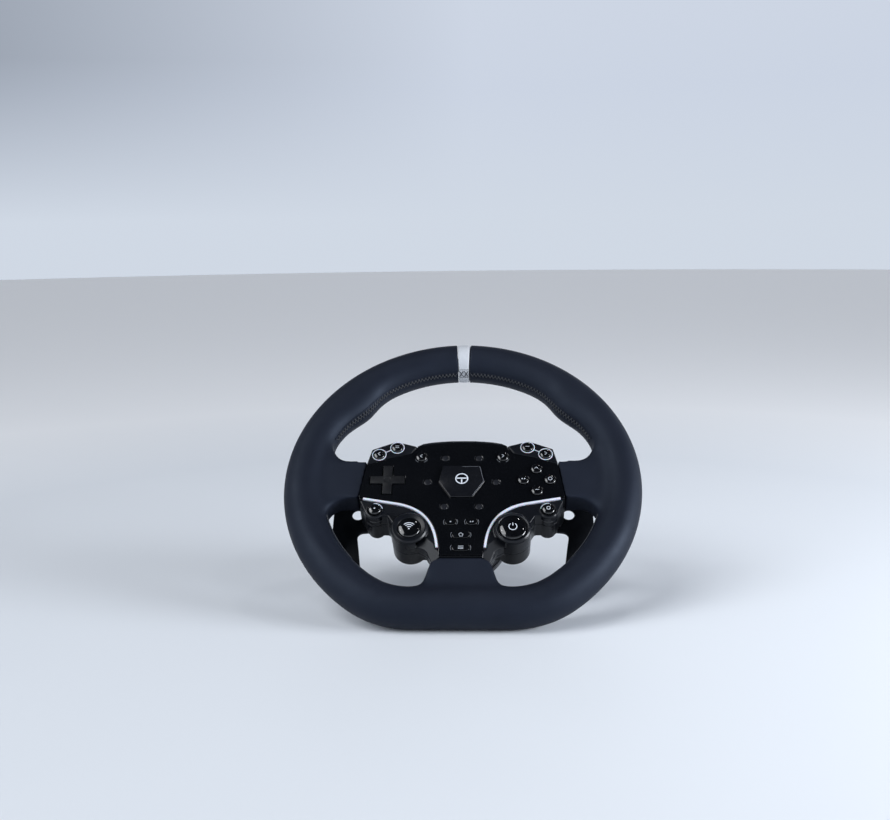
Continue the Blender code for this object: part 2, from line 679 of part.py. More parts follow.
def make_round_buttons(wheel, gloss):
    """Small domed caps. Each keeps a flange under the housing's roof."""
    for name, (x, w, surface) in round_buttons().items():
        high = ROOF_BOTTOM - GAP
        profile = [(0, 5.4), (FLANGE_R, 5.4), (FLANGE_R, high), (CAP_R, high), (CAP_R, surface + 0.5),
                   (CAP_R * 0.75, surface + 1.5), (0, surface + 2.0)]
        wheel.piece(name, solids(turned(profile, [(x, w)], CAP_SIDES)), gloss, (x, w, surface))


def make_flat_keys(wheel, gloss):
    """The four flat keys, each with a flange under the roof."""
    for name, (x, w, half_x, half_w) in flat_keys().items():
        cap = prism(stadium(x, w, half_x, half_w, 3), 5.7, PANEL_TOP + 0.5)
        flange = prism(stadium(x, w, half_x + 1.0, half_w - 0.2, 3), 5.3, ROOF_BOTTOM - GAP)
        key = wheel.piece(name, solids(cap), gloss, (x, w, PANEL_TOP))
        wheel.join(key, flange)


def make_pod_buttons(wheel, gloss, matte, bezel):
    """The two large pod buttons in their bezels, and the two small ones above them."""
    for side, mark, radius, mat in ((-1, "left", RADIO_R, matte), (1, "right", START_R, gloss)):
        place = (side * BIG_POD[0], BIG_POD[1])
        top = BIG_POD_TOP
        ring = [(radius + 0.4, top + GAP), (BIG_POD_R - 0.3, top + GAP), (BIG_POD_R - 0.3, top + 1.3),
                (BIG_POD_R - 1.4, top + 2.2), (radius + 0.4, top + 2.2)]
        wheel.piece(f"pod_bezel_{mark}", solids(turned(ring, [place], 20)), bezel)
        cap = [(0, 2.2), (radius * 0.7, 2.2), (radius * 0.7, 5.4), (radius, 5.4), (radius, top + 1.0),
               (radius * 0.75, top + 2.5), (0, top + 3.2)]
        wheel.piece(f"pod_button_{mark}", solids(turned(cap, [place], 20)), mat, (*place, top))
        place = (side * SMALL_POD[0], SMALL_POD[1])
        top = SMALL_POD_TOP
        cap = [(0, 1.8), (3.2, 1.8), (3.2, 4.6), (SMALL_CAP_R, 4.6), (SMALL_CAP_R, top + 0.8),
               (3.6, top + 1.9), (0, top + 2.5)]
        wheel.piece(f"small_pod_button_{mark}", solids(turned(cap, [place])), gloss, (*place, top))


def make_direction_pad(wheel, matte, clear):
    """A cross that rocks about two crossed axes through the gimbal's middle."""
    n = PAD_PIVOT_N
    pivot = (*PAD_CENTRE, n)
    plus = prism(cross(*PAD_CENTRE, PAD_REACH, PAD_HALF), 7.6, PANEL_TOP + 1.0)
    cap = wheel.piece("direction_pad", solids(plus), matte, pivot)
    wheel.join(cap, turned(disc(2.2, n + 1.1, 8.6), [PAD_CENTRE], 10))
    profile = [(0, n - 0.8), (3.4, n - 0.8), (3.4, n + 0.5), (2.6, n + 0.8), (0, n + 0.8)]
    wheel.piece("direction_pad_gimbal", solids(turned(profile, [PAD_CENTRE], 12)), clear, pivot)


# ---------------------------------------------------------------- paddles

def paddle_outline():
    """The right paddle, from its root at the hinge to the tip behind the rim."""
    return ([(59.8, 8.0), (78.0, 8.6)] + bezier((90.0, 7.0), (100.0, 5.0), (103.5, -1.0), (103.5, -9.0), 4)
            + [(103.5, -30.0), (101.0, -43.0), (94.0, -56.0), (86.0, -65.0), (80.6, -66.0), (79.0, -61.0),
               (81.6, -42.0)]
            + bezier((83.0, -33.0), (83.6, -29.0), (81.0, -27.2), (77.0, -27.0), 3)
            + [(66.0, -26.0), (59.8, -22.0)])


def hinge_rod(x, radius, w0, w1, sides=10):
    """A recipe for a rod along the wheel's height on a paddle's hinge."""
    def build(bm):
        turns = [2 * math.pi * i / sides for i in range(sides)]
        ends = [[bm.verts.new(point(x + radius * math.cos(a), w, HINGE_N + radius * math.sin(a)))
                 for a in turns] for w in (w0, w1)]
        for i in range(sides):
            j = (i + 1) % sides
            bm.faces.new((ends[0][i], ends[0][j], ends[1][j], ends[1][i]))
        for ring in ends:
            bm.faces.new(ring)
    return build


def make_paddles(wheel, black, steel):
    """Two paddles that swing on pins between the rear housing's lugs."""
    low, high = LUG_LOW + 2.0 + GAP + 0.1, LUG_HIGH - 2.0 - GAP - 0.1
    for side, mark in ((-1, "left"), (1, "right")):
        x = side * HINGE_X
        plate = [(side * a, b) for a, b in paddle_outline()]
        web = rectangle(x + side * 3.0, (low + high) / 2, 3.0, (high - low) / 2)
        paddle = wheel.piece(f"shift_paddle_{mark}", solids(prism(plate, PADDLE_BACK, PADDLE_FRONT)), black,
                             (x, (low + high) / 2, HINGE_N))
        wheel.join(paddle, prism(web, PADDLE_BACK + 0.2, PADDLE_FRONT - 0.2), hinge_rod(x, 3.3, low, high))
        wheel.cut(paddle, turned(disc(4.6, -60, 0), [(side * 84.0, -10.0)]), hinge_rod(x, PIN_R + GAP, -40, 40))
        wheel.piece(f"paddle_pin_{mark}", solids(hinge_rod(x, PIN_R, LUG_LOW - 2.0, LUG_HIGH + 2.0)), steel)
        wheel.piece(f"paddle_magnet_{mark}",
                    solids(turned(disc(3.2, BACK_N - 3.2, BACK_N - GAP), [(side * 72.0, -8.0)], 12)), steel)


# ---------------------------------------------------------------- quick release

def spring(radius, wire, n0, n1, turns, per_turn):
    """A recipe for a round-wire spring around the wheel's axis."""
    def build(bm):
        count = turns * per_turn
        rings = []
        for i in range(count + 1):
            a = 2 * math.pi * i / per_turn
            n = n0 + (n1 - n0) * i / count
            ring = []
            for k in range(5):
                b = 2 * math.pi / 5 * k
                r = radius + wire * math.cos(b)
                ring.append(bm.verts.new(point(r * math.cos(a), r * math.sin(a), n + wire * math.sin(b))))
            rings.append(ring)
        for ring_a, ring_b in zip(rings, rings[1:]):
            for k in range(5):
                m = (k + 1) % 5
                bm.faces.new((ring_a[k], ring_a[m], ring_b[m], ring_b[k]))
        bm.faces.new(rings[0])
        bm.faces.new(rings[-1])
    return build


def make_quick_release(wheel, black, steel, plastic):
    """The hub that bolts to the armature, and the collar that slides on its neck."""
    rear, boss, inner = -QR_REACH, PLATE_BACK - GAP, NECK_R + GAP
    body = [(0, SOCKET_BOTTOM), (SOCKET_R, SOCKET_BOTTOM), (SOCKET_R, rear + 1.0), (SOCKET_R + 1.0, rear),
            (NECK_R, rear), (NECK_R, FLANGE_BACK), (33.0, FLANGE_BACK), (33.0, BACK_N - 0.5),
            (BOSS_R, BACK_N - 0.5), (BOSS_R, boss), (0, boss)]
    hub = wheel.piece("qr_body", solids(turned(body, sides=28)), black)
    wheel.cut(hub, turned(disc(1.8 + GAP, -20.0, 9.0), hub_bolt_places(), 8))
    ring = [(inner, rear), (QR_R - 0.8, rear), (QR_R, rear + 0.8), (QR_R, rear + 6.0), (inner, rear + 6.0)]
    wheel.piece("qr_end_ring", solids(turned(ring, sides=28)), black)

    back, shoulder = rear + 6.0 + GAP, -60.0
    collar = [(inner, back), (33.2, back), (34.0, back + 1.0), (34.0, -58.0), (32.6, -56.5), (32.6, -50.5),
              (34.0, -49.0), (34.0, -38.0), (33.0, -37.0), (31.0, -37.0), (31.0, shoulder), (inner, shoulder)]
    wheel.piece("qr_collar", solids(turned(collar, sides=28)), black, (0, 0, shoulder))
    coil = spring(27.9, 1.0, shoulder + 1.0 + GAP, FLANGE_BACK - 1.0 - GAP, turns=3, per_turn=12)
    wheel.piece("qr_spring", solids(coil), steel, sharp=60)

    block = prism(rectangle(0, 0, 8.0, 5.0), SOCKET_BOTTOM - 3.0, SOCKET_BOTTOM - GAP)
    contact = wheel.piece("contact_block", solids(block), plastic)
    pins = [(x, w) for x in (-5, -2.5, 0, 2.5, 5) for w in (-2, 2)]
    wheel.join(contact, turned(disc(0.7, SOCKET_BOTTOM - 4.2, SOCKET_BOTTOM - 1.5), pins, 4))


def make_fasteners(wheel, steel):
    """Bolts from the armature into the quick release, and screws through the housing."""
    bolt = [(0, -18.0), (1.8, -18.0), (1.8, -1.3), (3.9, -1.3), (3.9, 1.2), (0, 1.2)]
    for i, place in enumerate(hub_bolt_places(), 1):
        wheel.piece(f"hub_bolt_{i}", solids(turned(bolt, [place], 8)), steel)
    head = BACK_N + 2.0
    screw = [(0, BACK_N + 0.2), (2.6, BACK_N + 0.2), (2.6, head), (1.2, head),
             (1.2, ROOF_BOTTOM - 2.0), (0, ROOF_BOTTOM - 2.0)]
    for i, place in enumerate(screw_places(), 1):
        wheel.piece(f"housing_screw_{i}", solids(turned(screw, [place], 8)), steel)


# ---------------------------------------------------------------- assembly

def main():
    for obj in list(bpy.data.objects):
        bpy.data.objects.remove(obj)
    leather = material("leather", (0.020, 0.023, 0.034), 0.52)
    white = material("white_trim", (0.80, 0.82, 0.84), 0.45)
    light = material("light_strip", (0.78, 0.81, 0.90), 0.35)
    satin = material("satin_plastic", (0.018, 0.020, 0.027), 0.38)
    gloss = material("gloss_plastic", (0.006, 0.006, 0.009), 0.10)
    matte = material("matte_plastic", (0.016, 0.017, 0.022), 0.55)
    badge = material("badge", (0.010, 0.011, 0.015), 0.18)
    alloy = material("aluminium", (0.62, 0.63, 0.65), 0.35, 1.0)
    black = material("black_metal", (0.012, 0.013, 0.016), 0.42, 0.6)
    steel = material("steel", (0.50, 0.51, 0.53), 0.30, 1.0)
    green = material("circuit_board", (0.010, 0.060, 0.030), 0.50)
    clear = material("light_guide", (0.055, 0.058, 0.070), 0.30)

    wheel = Wheel()
    make_rim(wheel, leather, white, alloy)
    make_front_housing(wheel, satin)
    make_rear_housing(wheel, satin)
    make_panel(wheel, gloss, light, badge)
    make_light_rings(wheel, white)
    make_electronics(wheel, green, clear)
    make_round_buttons(wheel, gloss)
    make_flat_keys(wheel, gloss)
    make_pod_buttons(wheel, gloss, matte, satin)
    make_direction_pad(wheel, matte, clear)
    make_paddles(wheel, black, steel)
    make_quick_release(wheel, black, steel, matte)
    make_fasteners(wheel, steel)
    bpy.context.view_layer.update()


main()
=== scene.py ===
"""Racing wheel: fine surfaces, materials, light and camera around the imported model.

Shapes are drawn in the wheel's own plane, in millimetres: x to the driver's right, w up the wheel
and n out of the face towards the driver. PLACE carries them to the leaning wheel on the table.
"""
import math

import bmesh
import bpy
import numpy as np
from mathutils import Matrix, Vector


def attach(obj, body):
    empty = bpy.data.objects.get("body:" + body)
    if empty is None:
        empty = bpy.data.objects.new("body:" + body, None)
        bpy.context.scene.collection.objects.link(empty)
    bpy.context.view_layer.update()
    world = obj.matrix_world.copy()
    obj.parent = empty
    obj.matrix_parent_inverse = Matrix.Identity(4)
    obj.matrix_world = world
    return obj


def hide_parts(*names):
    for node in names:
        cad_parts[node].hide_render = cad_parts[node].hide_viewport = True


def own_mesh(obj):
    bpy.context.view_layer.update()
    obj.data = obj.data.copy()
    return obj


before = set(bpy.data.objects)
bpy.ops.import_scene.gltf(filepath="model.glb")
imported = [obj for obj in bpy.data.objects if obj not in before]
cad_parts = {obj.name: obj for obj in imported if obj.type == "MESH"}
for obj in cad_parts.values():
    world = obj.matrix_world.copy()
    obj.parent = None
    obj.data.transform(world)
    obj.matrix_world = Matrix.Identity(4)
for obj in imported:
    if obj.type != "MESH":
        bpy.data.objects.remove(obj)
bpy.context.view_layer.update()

# ---------------------------------------------------------------- the CAD model's dimensions
RIM_R, TUBE_R, FLAT_W, CORNER_R = 124.25, 15.75, -111.85, 63.7
BULGE, BULGE_ANGLE, BULGE_SPREAD, BAND_HALF = 5.8, 41.0, 22.0, 5.0
SPOKE_FRONT, SPOKE_BACK = 9.0, -10.0
PLATE_FRONT, PLATE_BACK, ARM_SPOKE_HALF, RING_HALF = 1.5, -4.0, 9.0, 5.5
SPLIT_N, ROOF_BOTTOM, ROOF_TOP, PANEL_TOP, WING_TOP, SHELF_TOP = -1.5, 6.5, 9.0, 11.0, 10.6, 10.2
BACK_N, POD_BACK, SMALL_POD_BACK, ARM_BACK, WALL, GAP = -22.0, -18.4, -20.0, -5.0, 2.4, 0.3
ARM_TOP = (40.2, -0.353, 0.383, 0.853)  # the arms' slanting fronts: n = (a + b x + c w) / d
BIG_POD, BIG_POD_R, BIG_POD_TOP = (39.0, -50.8), 14.0, 12.0
SMALL_POD, SMALL_POD_R, SMALL_POD_TOP = (66.2, -32.5), 7.6, 10.4
CAP_R, HOLE_R, FLANGE_R, RADIO_R, START_R, SMALL_CAP_R, INDICATOR_R = 4.35, 4.98, 4.95, 8.4, 10.4, 4.9, 2.6
ACTION_CENTRE, ACTION_R, PAD_CENTRE, PAD_REACH, PAD_HALF = (58.0, -5.2), 10.3, (-57.8, -5.0), 13.3, 3.5
PADDLE_FRONT, PADDLE_BACK, HINGE_X, HINGE_N, LUG_LOW, LUG_HIGH, PIN_R = -29.0, -31.5, 56.0, -28.0, -17.0, 5.0, 1.3
QR_REACH, QR_R, NECK_R, SOCKET_R, BOSS_R, FLANGE_BACK, SOCKET_BOTTOM = 90.3, 35.0, 25.0, 18.0, 28.0, -28.0, -50.0

_drop = -FLAT_W - QR_R
LEAN = math.atan2(_drop, QR_REACH) + math.asin(TUBE_R / math.hypot(_drop, QR_REACH))
_front, _back = FLAT_W * math.sin(LEAN) - TUBE_R, RIM_R * math.sin(LEAN) + TUBE_R
PLACE = (Matrix.Translation((0, -(_front + _back) / 2000, (TUBE_R - FLAT_W * math.cos(LEAN)) / 1000))
         @ Matrix.Rotation(-LEAN, 4, 'X') @ Matrix.Scale(0.001, 4))


# ---------------------------------------------------------------- outlines
def arc(cx, cy, radius, start, end, steps):
    turns = [math.radians(start + (end - start) * i / steps) for i in range(steps + 1)]
    return [(cx + radius * math.cos(a), cy + radius * math.sin(a)) for a in turns]


def bezier(p0, p1, p2, p3, steps):
    points = []
    for i in range(steps + 1):
        t = i / steps
        weights = ((1 - t) ** 3, 3 * t * (1 - t) ** 2, 3 * t * t * (1 - t), t ** 3)
        points.append(tuple(sum(k * p[c] for k, p in zip(weights, (p0, p1, p2, p3))) for c in (0, 1)))
    return points


def flip(points):
    return [(-x, w) for x, w in reversed(points)]


def both_sides(right_half):
    return right_half + [(-x, w) for x, w in reversed(right_half) if abs(x) > 1e-6]


def stadium(cx, cy, half_x, half_y, steps=10):
    flat = half_x - half_y
    return arc(cx + flat, cy, half_y, -90, 90, steps * 2) + arc(cx - flat, cy, half_y, 90, 270, steps * 2)


def rounded(points, radius, steps=5):
    """A closed outline with its corners rounded."""
    result = []
    count = len(points)
    for i, (x, y) in enumerate(points):
        (ax, ay), (bx, by) = points[i - 1], points[(i + 1) % count]
        ux, uy, vx, vy = ax - x, ay - y, bx - x, by - y
        lu, lv = math.hypot(ux, uy), math.hypot(vx, vy)
        cosine = max(-1.0, min(1.0, (ux * vx + uy * vy) / (lu * lv)))
        turn = math.pi - math.acos(cosine)
        if turn < math.radians(3):
            result.append((x, y))
            continue
        reach = min(radius * math.tan(turn / 2), 0.45 * lu, 0.45 * lv)
        a = (x + ux / lu * reach, y + uy / lu * reach)
        b = (x + vx / lv * reach, y + vy / lv * reach)
        for k in range(steps + 1):
            t = k / steps
            result.append(tuple((1 - t) ** 2 * p + 2 * t * (1 - t) * q + t * t * r
                                for p, q, r in zip(a, (x, y), b)))
    return result


def cross(cx, cy, reach, half):
    points = []
    for quarter in range(4):
        a = -math.pi / 2 * quarter
        for x, y in ((half, reach), (half, half), (reach, half)):
            points.append((cx + x * math.cos(a) - y * math.sin(a), cy + x * math.sin(a) + y * math.cos(a)))
    return points


STRIP_LINE = [(75.8, -22.2)] + bezier((50.0, -27.0), (30.0, -30.8), (19.8, -44.0), (18.0, -66.5), 28)
STRIP_HALF = 0.9
ARCH = [(0.0, 33.6), (8.0, 33.5), (16.0, 33.0), (24.0, 32.2), (31.0, 30.8), (35.5, 28.2)]
WING = [(52.5, 33.3), (71.5, 25.4), (75.0, 11.0)]
BODY = both_sides(ARCH + WING + [
    (79.5, -22.0), (75.6, -29.5), (73.0, -36.5), (56.0, -38.0), (50.0, -48.0), (38.0, -60.0),
    (27.5, -66.0), (25.4, -68.0), (21.6, -76.6), (16.6, -73.9)])


def line_offset(points, distance):
    result = []
    for i, (x, y) in enumerate(points):
        (ax, ay), (bx, by) = points[max(i - 1, 0)], points[min(i + 1, len(points) - 1)]
        length = math.hypot(bx - ax, by - ay)
        result.append((x - (by - ay) / length * distance, y + (bx - ax) / length * distance))
    return result


def strip_edge(distance, corner_x):
    line = line_offset(STRIP_LINE, distance)
    (ax, aw), (bx, bw) = line[:2]
    return [(corner_x, aw + (aw - bw) / (ax - bx) * (corner_x - ax))] + line[1:]


def panel_outline():
    inner = strip_edge(-STRIP_HALF - GAP, 79.2)
    inner[-1] = (16.5, -66.5)
    top = [(0.0, 31.4), (12.0, 31.1), (24.0, 29.9), (33.0, 28.2), (40.0, 20.6), (56.0, 16.7), (74.6, 9.9)]
    return both_sides(top + inner + [(16.5, -73.6)])


def core_outline():
    outer = line_offset(STRIP_LINE, STRIP_HALF + GAP)
    outer[-1] = (19.4, -67.5)
    top = ARCH[:-1] + [(34.4, 28.4), (37.0, 27.0), (60.0, 25.0), (72.5, 20.0), (74.9, 11.0)]
    return both_sides(top + [(79.0, -21.0)] + outer[1:] + [(16.6, -73.9)])


def wing_outline():
    return [(35.5, 28.2)] + WING + [(74.5, 10.4), (56.2, 17.2), (40.4, 21.1)]


def bezel_outline():
    outer = ARCH[:-1] + [(36.6, 27.6)]
    inner = [(33.4, 28.5), (24.0, 30.3), (12.0, 31.5), (0.0, 31.8)]
    return outer + inner + flip(inner[:-1]) + flip(outer[1:])


def shelf_outline():
    outer = strip_edge(STRIP_HALF + GAP, 78.7)
    return outer[:-1] + [(19.3, -66.4), (20.0, -70.0), (25.4, -68.0), (27.5, -66.0), (38.0, -60.0),
                         (50.0, -48.0), (56.0, -38.0), (73.0, -36.5), (75.6, -29.5)]


def foot_outline():
    return both_sides([(0.0, -64.0), (19.0, -64.0), (25.4, -68.0), (21.6, -76.6), (16.6, -73.9)])


def pocket_outline():
    return both_sides([
        (0.0, 31.0), (16.0, 30.6), (24.0, 29.8), (33.5, 25.8), (38.5, 27.6), (52.4, 32.2), (70.6, 24.6),
        (73.4, 11.0), (77.2, -21.8), (56.0, -27.6), (46.0, -30.5), (33.0, -37.5), (25.5, -47.0),
        (21.0, -58.0), (18.8, -68.0), (15.2, -71.2)])


def side_spoke():
    return [(120, 46), (106, 46), (105.4, 40), (104.3, 34), (102.6, 28.6), (100.2, 23.4), (96.4, 19.0),
            (90.8, 16.4), (83, 15.0), (74.8, 14.4), (75.5, 10.9), (79.4, -17.2), (80.6, -19.6),
            (88, -19.6), (94.6, -21.2), (100.2, -25.4), (103.6, -31), (105.2, -37), (105.8, -45), (118, -45)]


def bottom_spoke():
    return both_sides([(0, -74.9), (16.6, -74.9), (21.6, -77.3), (24.4, -84.5), (28.4, -94.4), (33.5, -99.5),
                       (41, -101.5), (41, -114), (0, -114)])


def arm_spokes(margin):
    half = ARM_SPOKE_HALF + margin
    right = [(20, half - 2), (RIM_R, half - 2), (RIM_R, -half - 2), (20, -half - 2)]
    return [right, flip(right), [(-half, -20), (half, -20), (half, FLAT_W), (-half, FLAT_W)]]


def paddle_outline():
    return ([(59.8, 8.0), (78.0, 8.6)] + bezier((90.0, 7.0), (100.0, 5.0), (103.5, -1.0), (103.5, -9.0), 12)
            + [(103.5, -30.0), (101.0, -43.0), (94.0, -56.0), (86.0, -65.0), (80.6, -66.0), (79.0, -61.0),
               (81.6, -42.0)]
            + bezier((83.0, -33.0), (83.6, -29.0), (81.0, -27.2), (77.0, -27.0), 8)
            + [(66.0, -26.0), (59.8, -22.0)])


def rectangle(x, w, half_x, half_w):
    return [(x - half_x, w - half_w), (x + half_x, w - half_w), (x + half_x, w + half_w), (x - half_x, w + half_w)]


# ---------------------------------------------------------------- places of the controls
def round_buttons():
    places = {}
    for side, mark in ((-1, "left"), (1, "right")):
        places[f"wing_button_outer_{mark}"] = (side * 65.5, 19.7, WING_TOP)
        places[f"wing_button_inner_{mark}"] = (side * 51.5, 26.5, WING_TOP)
        places[f"page_button_{mark}"] = (side * 32.0, 17.0, PANEL_TOP)
    for i, mark in enumerate(("right", "top", "left", "bottom")):
        a = math.pi / 2 * i
        places[f"action_button_{mark}"] = (ACTION_CENTRE[0] + ACTION_R * math.cos(a),
                                           ACTION_CENTRE[1] + ACTION_R * math.sin(a), PANEL_TOP)
    return places


FLAT_KEYS = {"select_key_left": (-8.0, -44.0, 4.3, 2.8), "select_key_right": (8.0, -44.0, 4.3, 2.8),
             "home_key": (0.0, -55.6, 6.6, 2.8), "menu_key": (0.0, -67.0, 6.6, 2.8)}
SCREWS = [(58.0, 15.9), (-58.0, 15.9), (49.0, -24.2), (-49.0, -24.2)]
INDICATORS = arc(0, -7.0, 26.6, 0, 360, 6)[:-1]


def mirrored(place):
    return [place, (-place[0], place[1])]


# ---------------------------------------------------------------- shapes
def point(x, w, n):
    return (x, -n, w)


def inset(outline, distance):
    """A closed outline moved inwards."""
    count = len(outline)
    area = sum(outline[i - 1][0] * outline[i][1] - outline[i][0] * outline[i - 1][1] for i in range(count))
    turn = 1.0 if area > 0 else -1.0
    normals = []
    for i in range(count):
        (ax, ay), (bx, by) = outline[i], outline[(i + 1) % count]
        length = math.hypot(bx - ax, by - ay)
        normals.append((-(by - ay) / length * turn, (bx - ax) / length * turn))
    result = []
    for i, (x, y) in enumerate(outline):
        (px, py), (qx, qy) = normals[i - 1], normals[i]
        share = distance / max(0.35, 1 + px * qx + py * qy)
        result.append((x + (px + qx) * share, y + (py + qy) * share))
    return result


def prism(outline, n0, n1, edge=0.0, segments=3, back_edge=None):
    """A recipe for an outline with depth. Its front and back edges are rounded by edge."""
    back_edge = edge if back_edge is None else back_edge

    def build(bm):
        levels = []
        for size, start, sign in ((back_edge, n0, 1), (edge, n1, -1)):
            bow = [math.pi / 2 * k / segments for k in range(segments + 1)] if size else [0.0]
            side = [(size * (1 - math.cos(a)), start + sign * size * (1 - math.sin(a))) for a in bow]
            levels += side[::-1] if sign > 0 else side
        rings = []
        for shrink, n in levels:
            ring = inset(outline, shrink) if shrink > 1e-6 else outline
            rings.append([bm.verts.new(point(x, w, n)) for x, w in ring])
        count = len(outline)
        for low, high in zip(rings, rings[1:]):
            for i in range(count):
                j = (i + 1) % count
                bm.faces.new((low[i], low[j], high[j], high[i]))
        bm.faces.new(rings[0])
        bm.faces.new(rings[-1])
    return build


def turned(profile, places=((0, 0),), sides=48, wave=None):
    """A recipe for a profile of (radius, n) turned about an axis along n at each place."""
    def build(bm):
        for x, w in places:
            rings = []
            for radius, n in profile:
                if radius < 1e-6:
                    rings.append([bm.verts.new(point(x, w, n))])
                    continue
                ring = []
                for i in range(sides):
                    a = 2 * math.pi * i / sides
                    r = radius + (wave(a, radius, n) if wave else 0.0)
                    ring.append(bm.verts.new(point(x + r * math.cos(a), w + r * math.sin(a), n)))
                rings.append(ring)
            closed = len(rings[0]) > 1 and len(rings[-1]) > 1
            for low, high in list(zip(rings, rings[1:])) + ([(rings[-1], rings[0])] if closed else []):
                for i in range(sides):
                    j = (i + 1) % sides
                    corners = [low[i % len(low)], low[j % len(low)], high[j % len(high)], high[i % len(high)]]
                    bm.faces.new(list(dict.fromkeys(corners)))
    return build


def disc(radius, n0, n1):
    return [(0, n0), (radius, n0), (radius, n1), (0, n1)]


def soften(profile, radius=0.3, steps=3):
    """A turned profile with its corners rounded. Points on the axis stay."""
    closed = profile[0][0] > 1e-6
    result = []
    count = len(profile)
    for i, (x, y) in enumerate(profile):
        if not closed and i in (0, count - 1):
            result.append((x, y))
            continue
        (ax, ay), (bx, by) = profile[i - 1], profile[(i + 1) % count]
        ux, uy, vx, vy = ax - x, ay - y, bx - x, by - y
        lu, lv = math.hypot(ux, uy), math.hypot(vx, vy)
        reach = min(radius, 0.45 * lu, 0.45 * lv)
        a = (x + ux / lu * reach, y + uy / lu * reach)
        b = (x + vx / lv * reach, y + vy / lv * reach)
        for k in range(steps + 1):
            t = k / steps
            result.append(tuple((1 - t) ** 2 * p + 2 * t * (1 - t) * q + t * t * r
                                for p, q, r in zip(a, (x, y), b)))
    return result


def dome(radius, base, shoulder, top, steps=10):
    """Points of a cap's profile above base: a short wall, a rounded shoulder and a low dome."""
    points = [(radius, base)]
    for i in range(steps + 1):
        a = math.pi / 2 * i / steps
        points.append((radius * math.cos(a) ** 0.62 if i < steps else 0.0, shoulder + (top - shoulder) * math.sin(a)))
    return points


def dome_height(radius, shoulder, top):
    """The dome's surface as a function of the distance from its middle."""
    return lambda d: shoulder + (top - shoulder) * math.sin(math.acos(min(1.0, (d / radius) ** (1 / 0.62))))


def ribbon(line, half, height, depth=0.5, closed=False):
    """A recipe for a raised line of print, or of painted highlight on the badge: a polyline given width, on a surface
    of that height(x, w).
    """
    def build(bm):
        count = len(line)
        rings = []
        for i, (x, w) in enumerate(line):
            if closed:
                a, b = line[i - 1], line[(i + 1) % count]
            else:
                a, b = line[max(i - 1, 0)], line[min(i + 1, count - 1)]
            length = math.hypot(b[0] - a[0], b[1] - a[1])
            sx, sw = -(b[1] - a[1]) / length * half, (b[0] - a[0]) / length * half
            ring = []
            for k, drop in ((1, 0), (-1, 0), (-1, depth), (1, depth)):
                px, pw = x + sx * k, w + sw * k
                ring.append(bm.verts.new(point(px, pw, height(px, pw) + 0.04 - drop)))
            rings.append(ring)
        for ring_a, ring_b in list(zip(rings, rings[1:])) + ([(rings[-1], rings[0])] if closed else []):
            for k in range(4):
                m = (k + 1) % 4
                bm.faces.new((ring_a[k], ring_a[m], ring_b[m], ring_b[k]))
        if not closed:
            bm.faces.new(rings[0])
            bm.faces.new(rings[-1])
    return build


def tube(line, radius, sides=8):
    """A recipe for a round thread or wire through points in space (x, w, n)."""
    def build(bm):
        path = [np.array(point(*p), float) for p in line]
        rings = []
        for i, p in enumerate(path):
            along = path[min(i + 1, len(path) - 1)] - path[max(i - 1, 0)]
            along /= np.linalg.norm(along)
            guide = np.array((0, 1, 0)) if abs(along[1]) < 0.9 else np.array((1, 0, 0))
            side = np.cross(along, guide)
            side /= np.linalg.norm(side)
            up = np.cross(side, along)
            turns = [2 * math.pi * k / sides for k in range(sides)]
            rings.append([bm.verts.new(p + radius * (side * math.cos(a) + up * math.sin(a))) for a in turns])
        for ring_a, ring_b in zip(rings, rings[1:]):
            for k in range(sides):
                m = (k + 1) % sides
                bm.faces.new((ring_a[k], ring_a[m], ring_b[m], ring_b[k]))
        bm.faces.new(rings[0])
        bm.faces.new(rings[-1])
    return build


def mesh_of(*recipes):
    bm = bmesh.new()
    for recipe in recipes:
        recipe(bm)
    bmesh.ops.recalc_face_normals(bm, faces=bm.faces)
    mesh = bpy.data.meshes.new("shape")
    bm.to_mesh(mesh)
    bm.free()
    return mesh


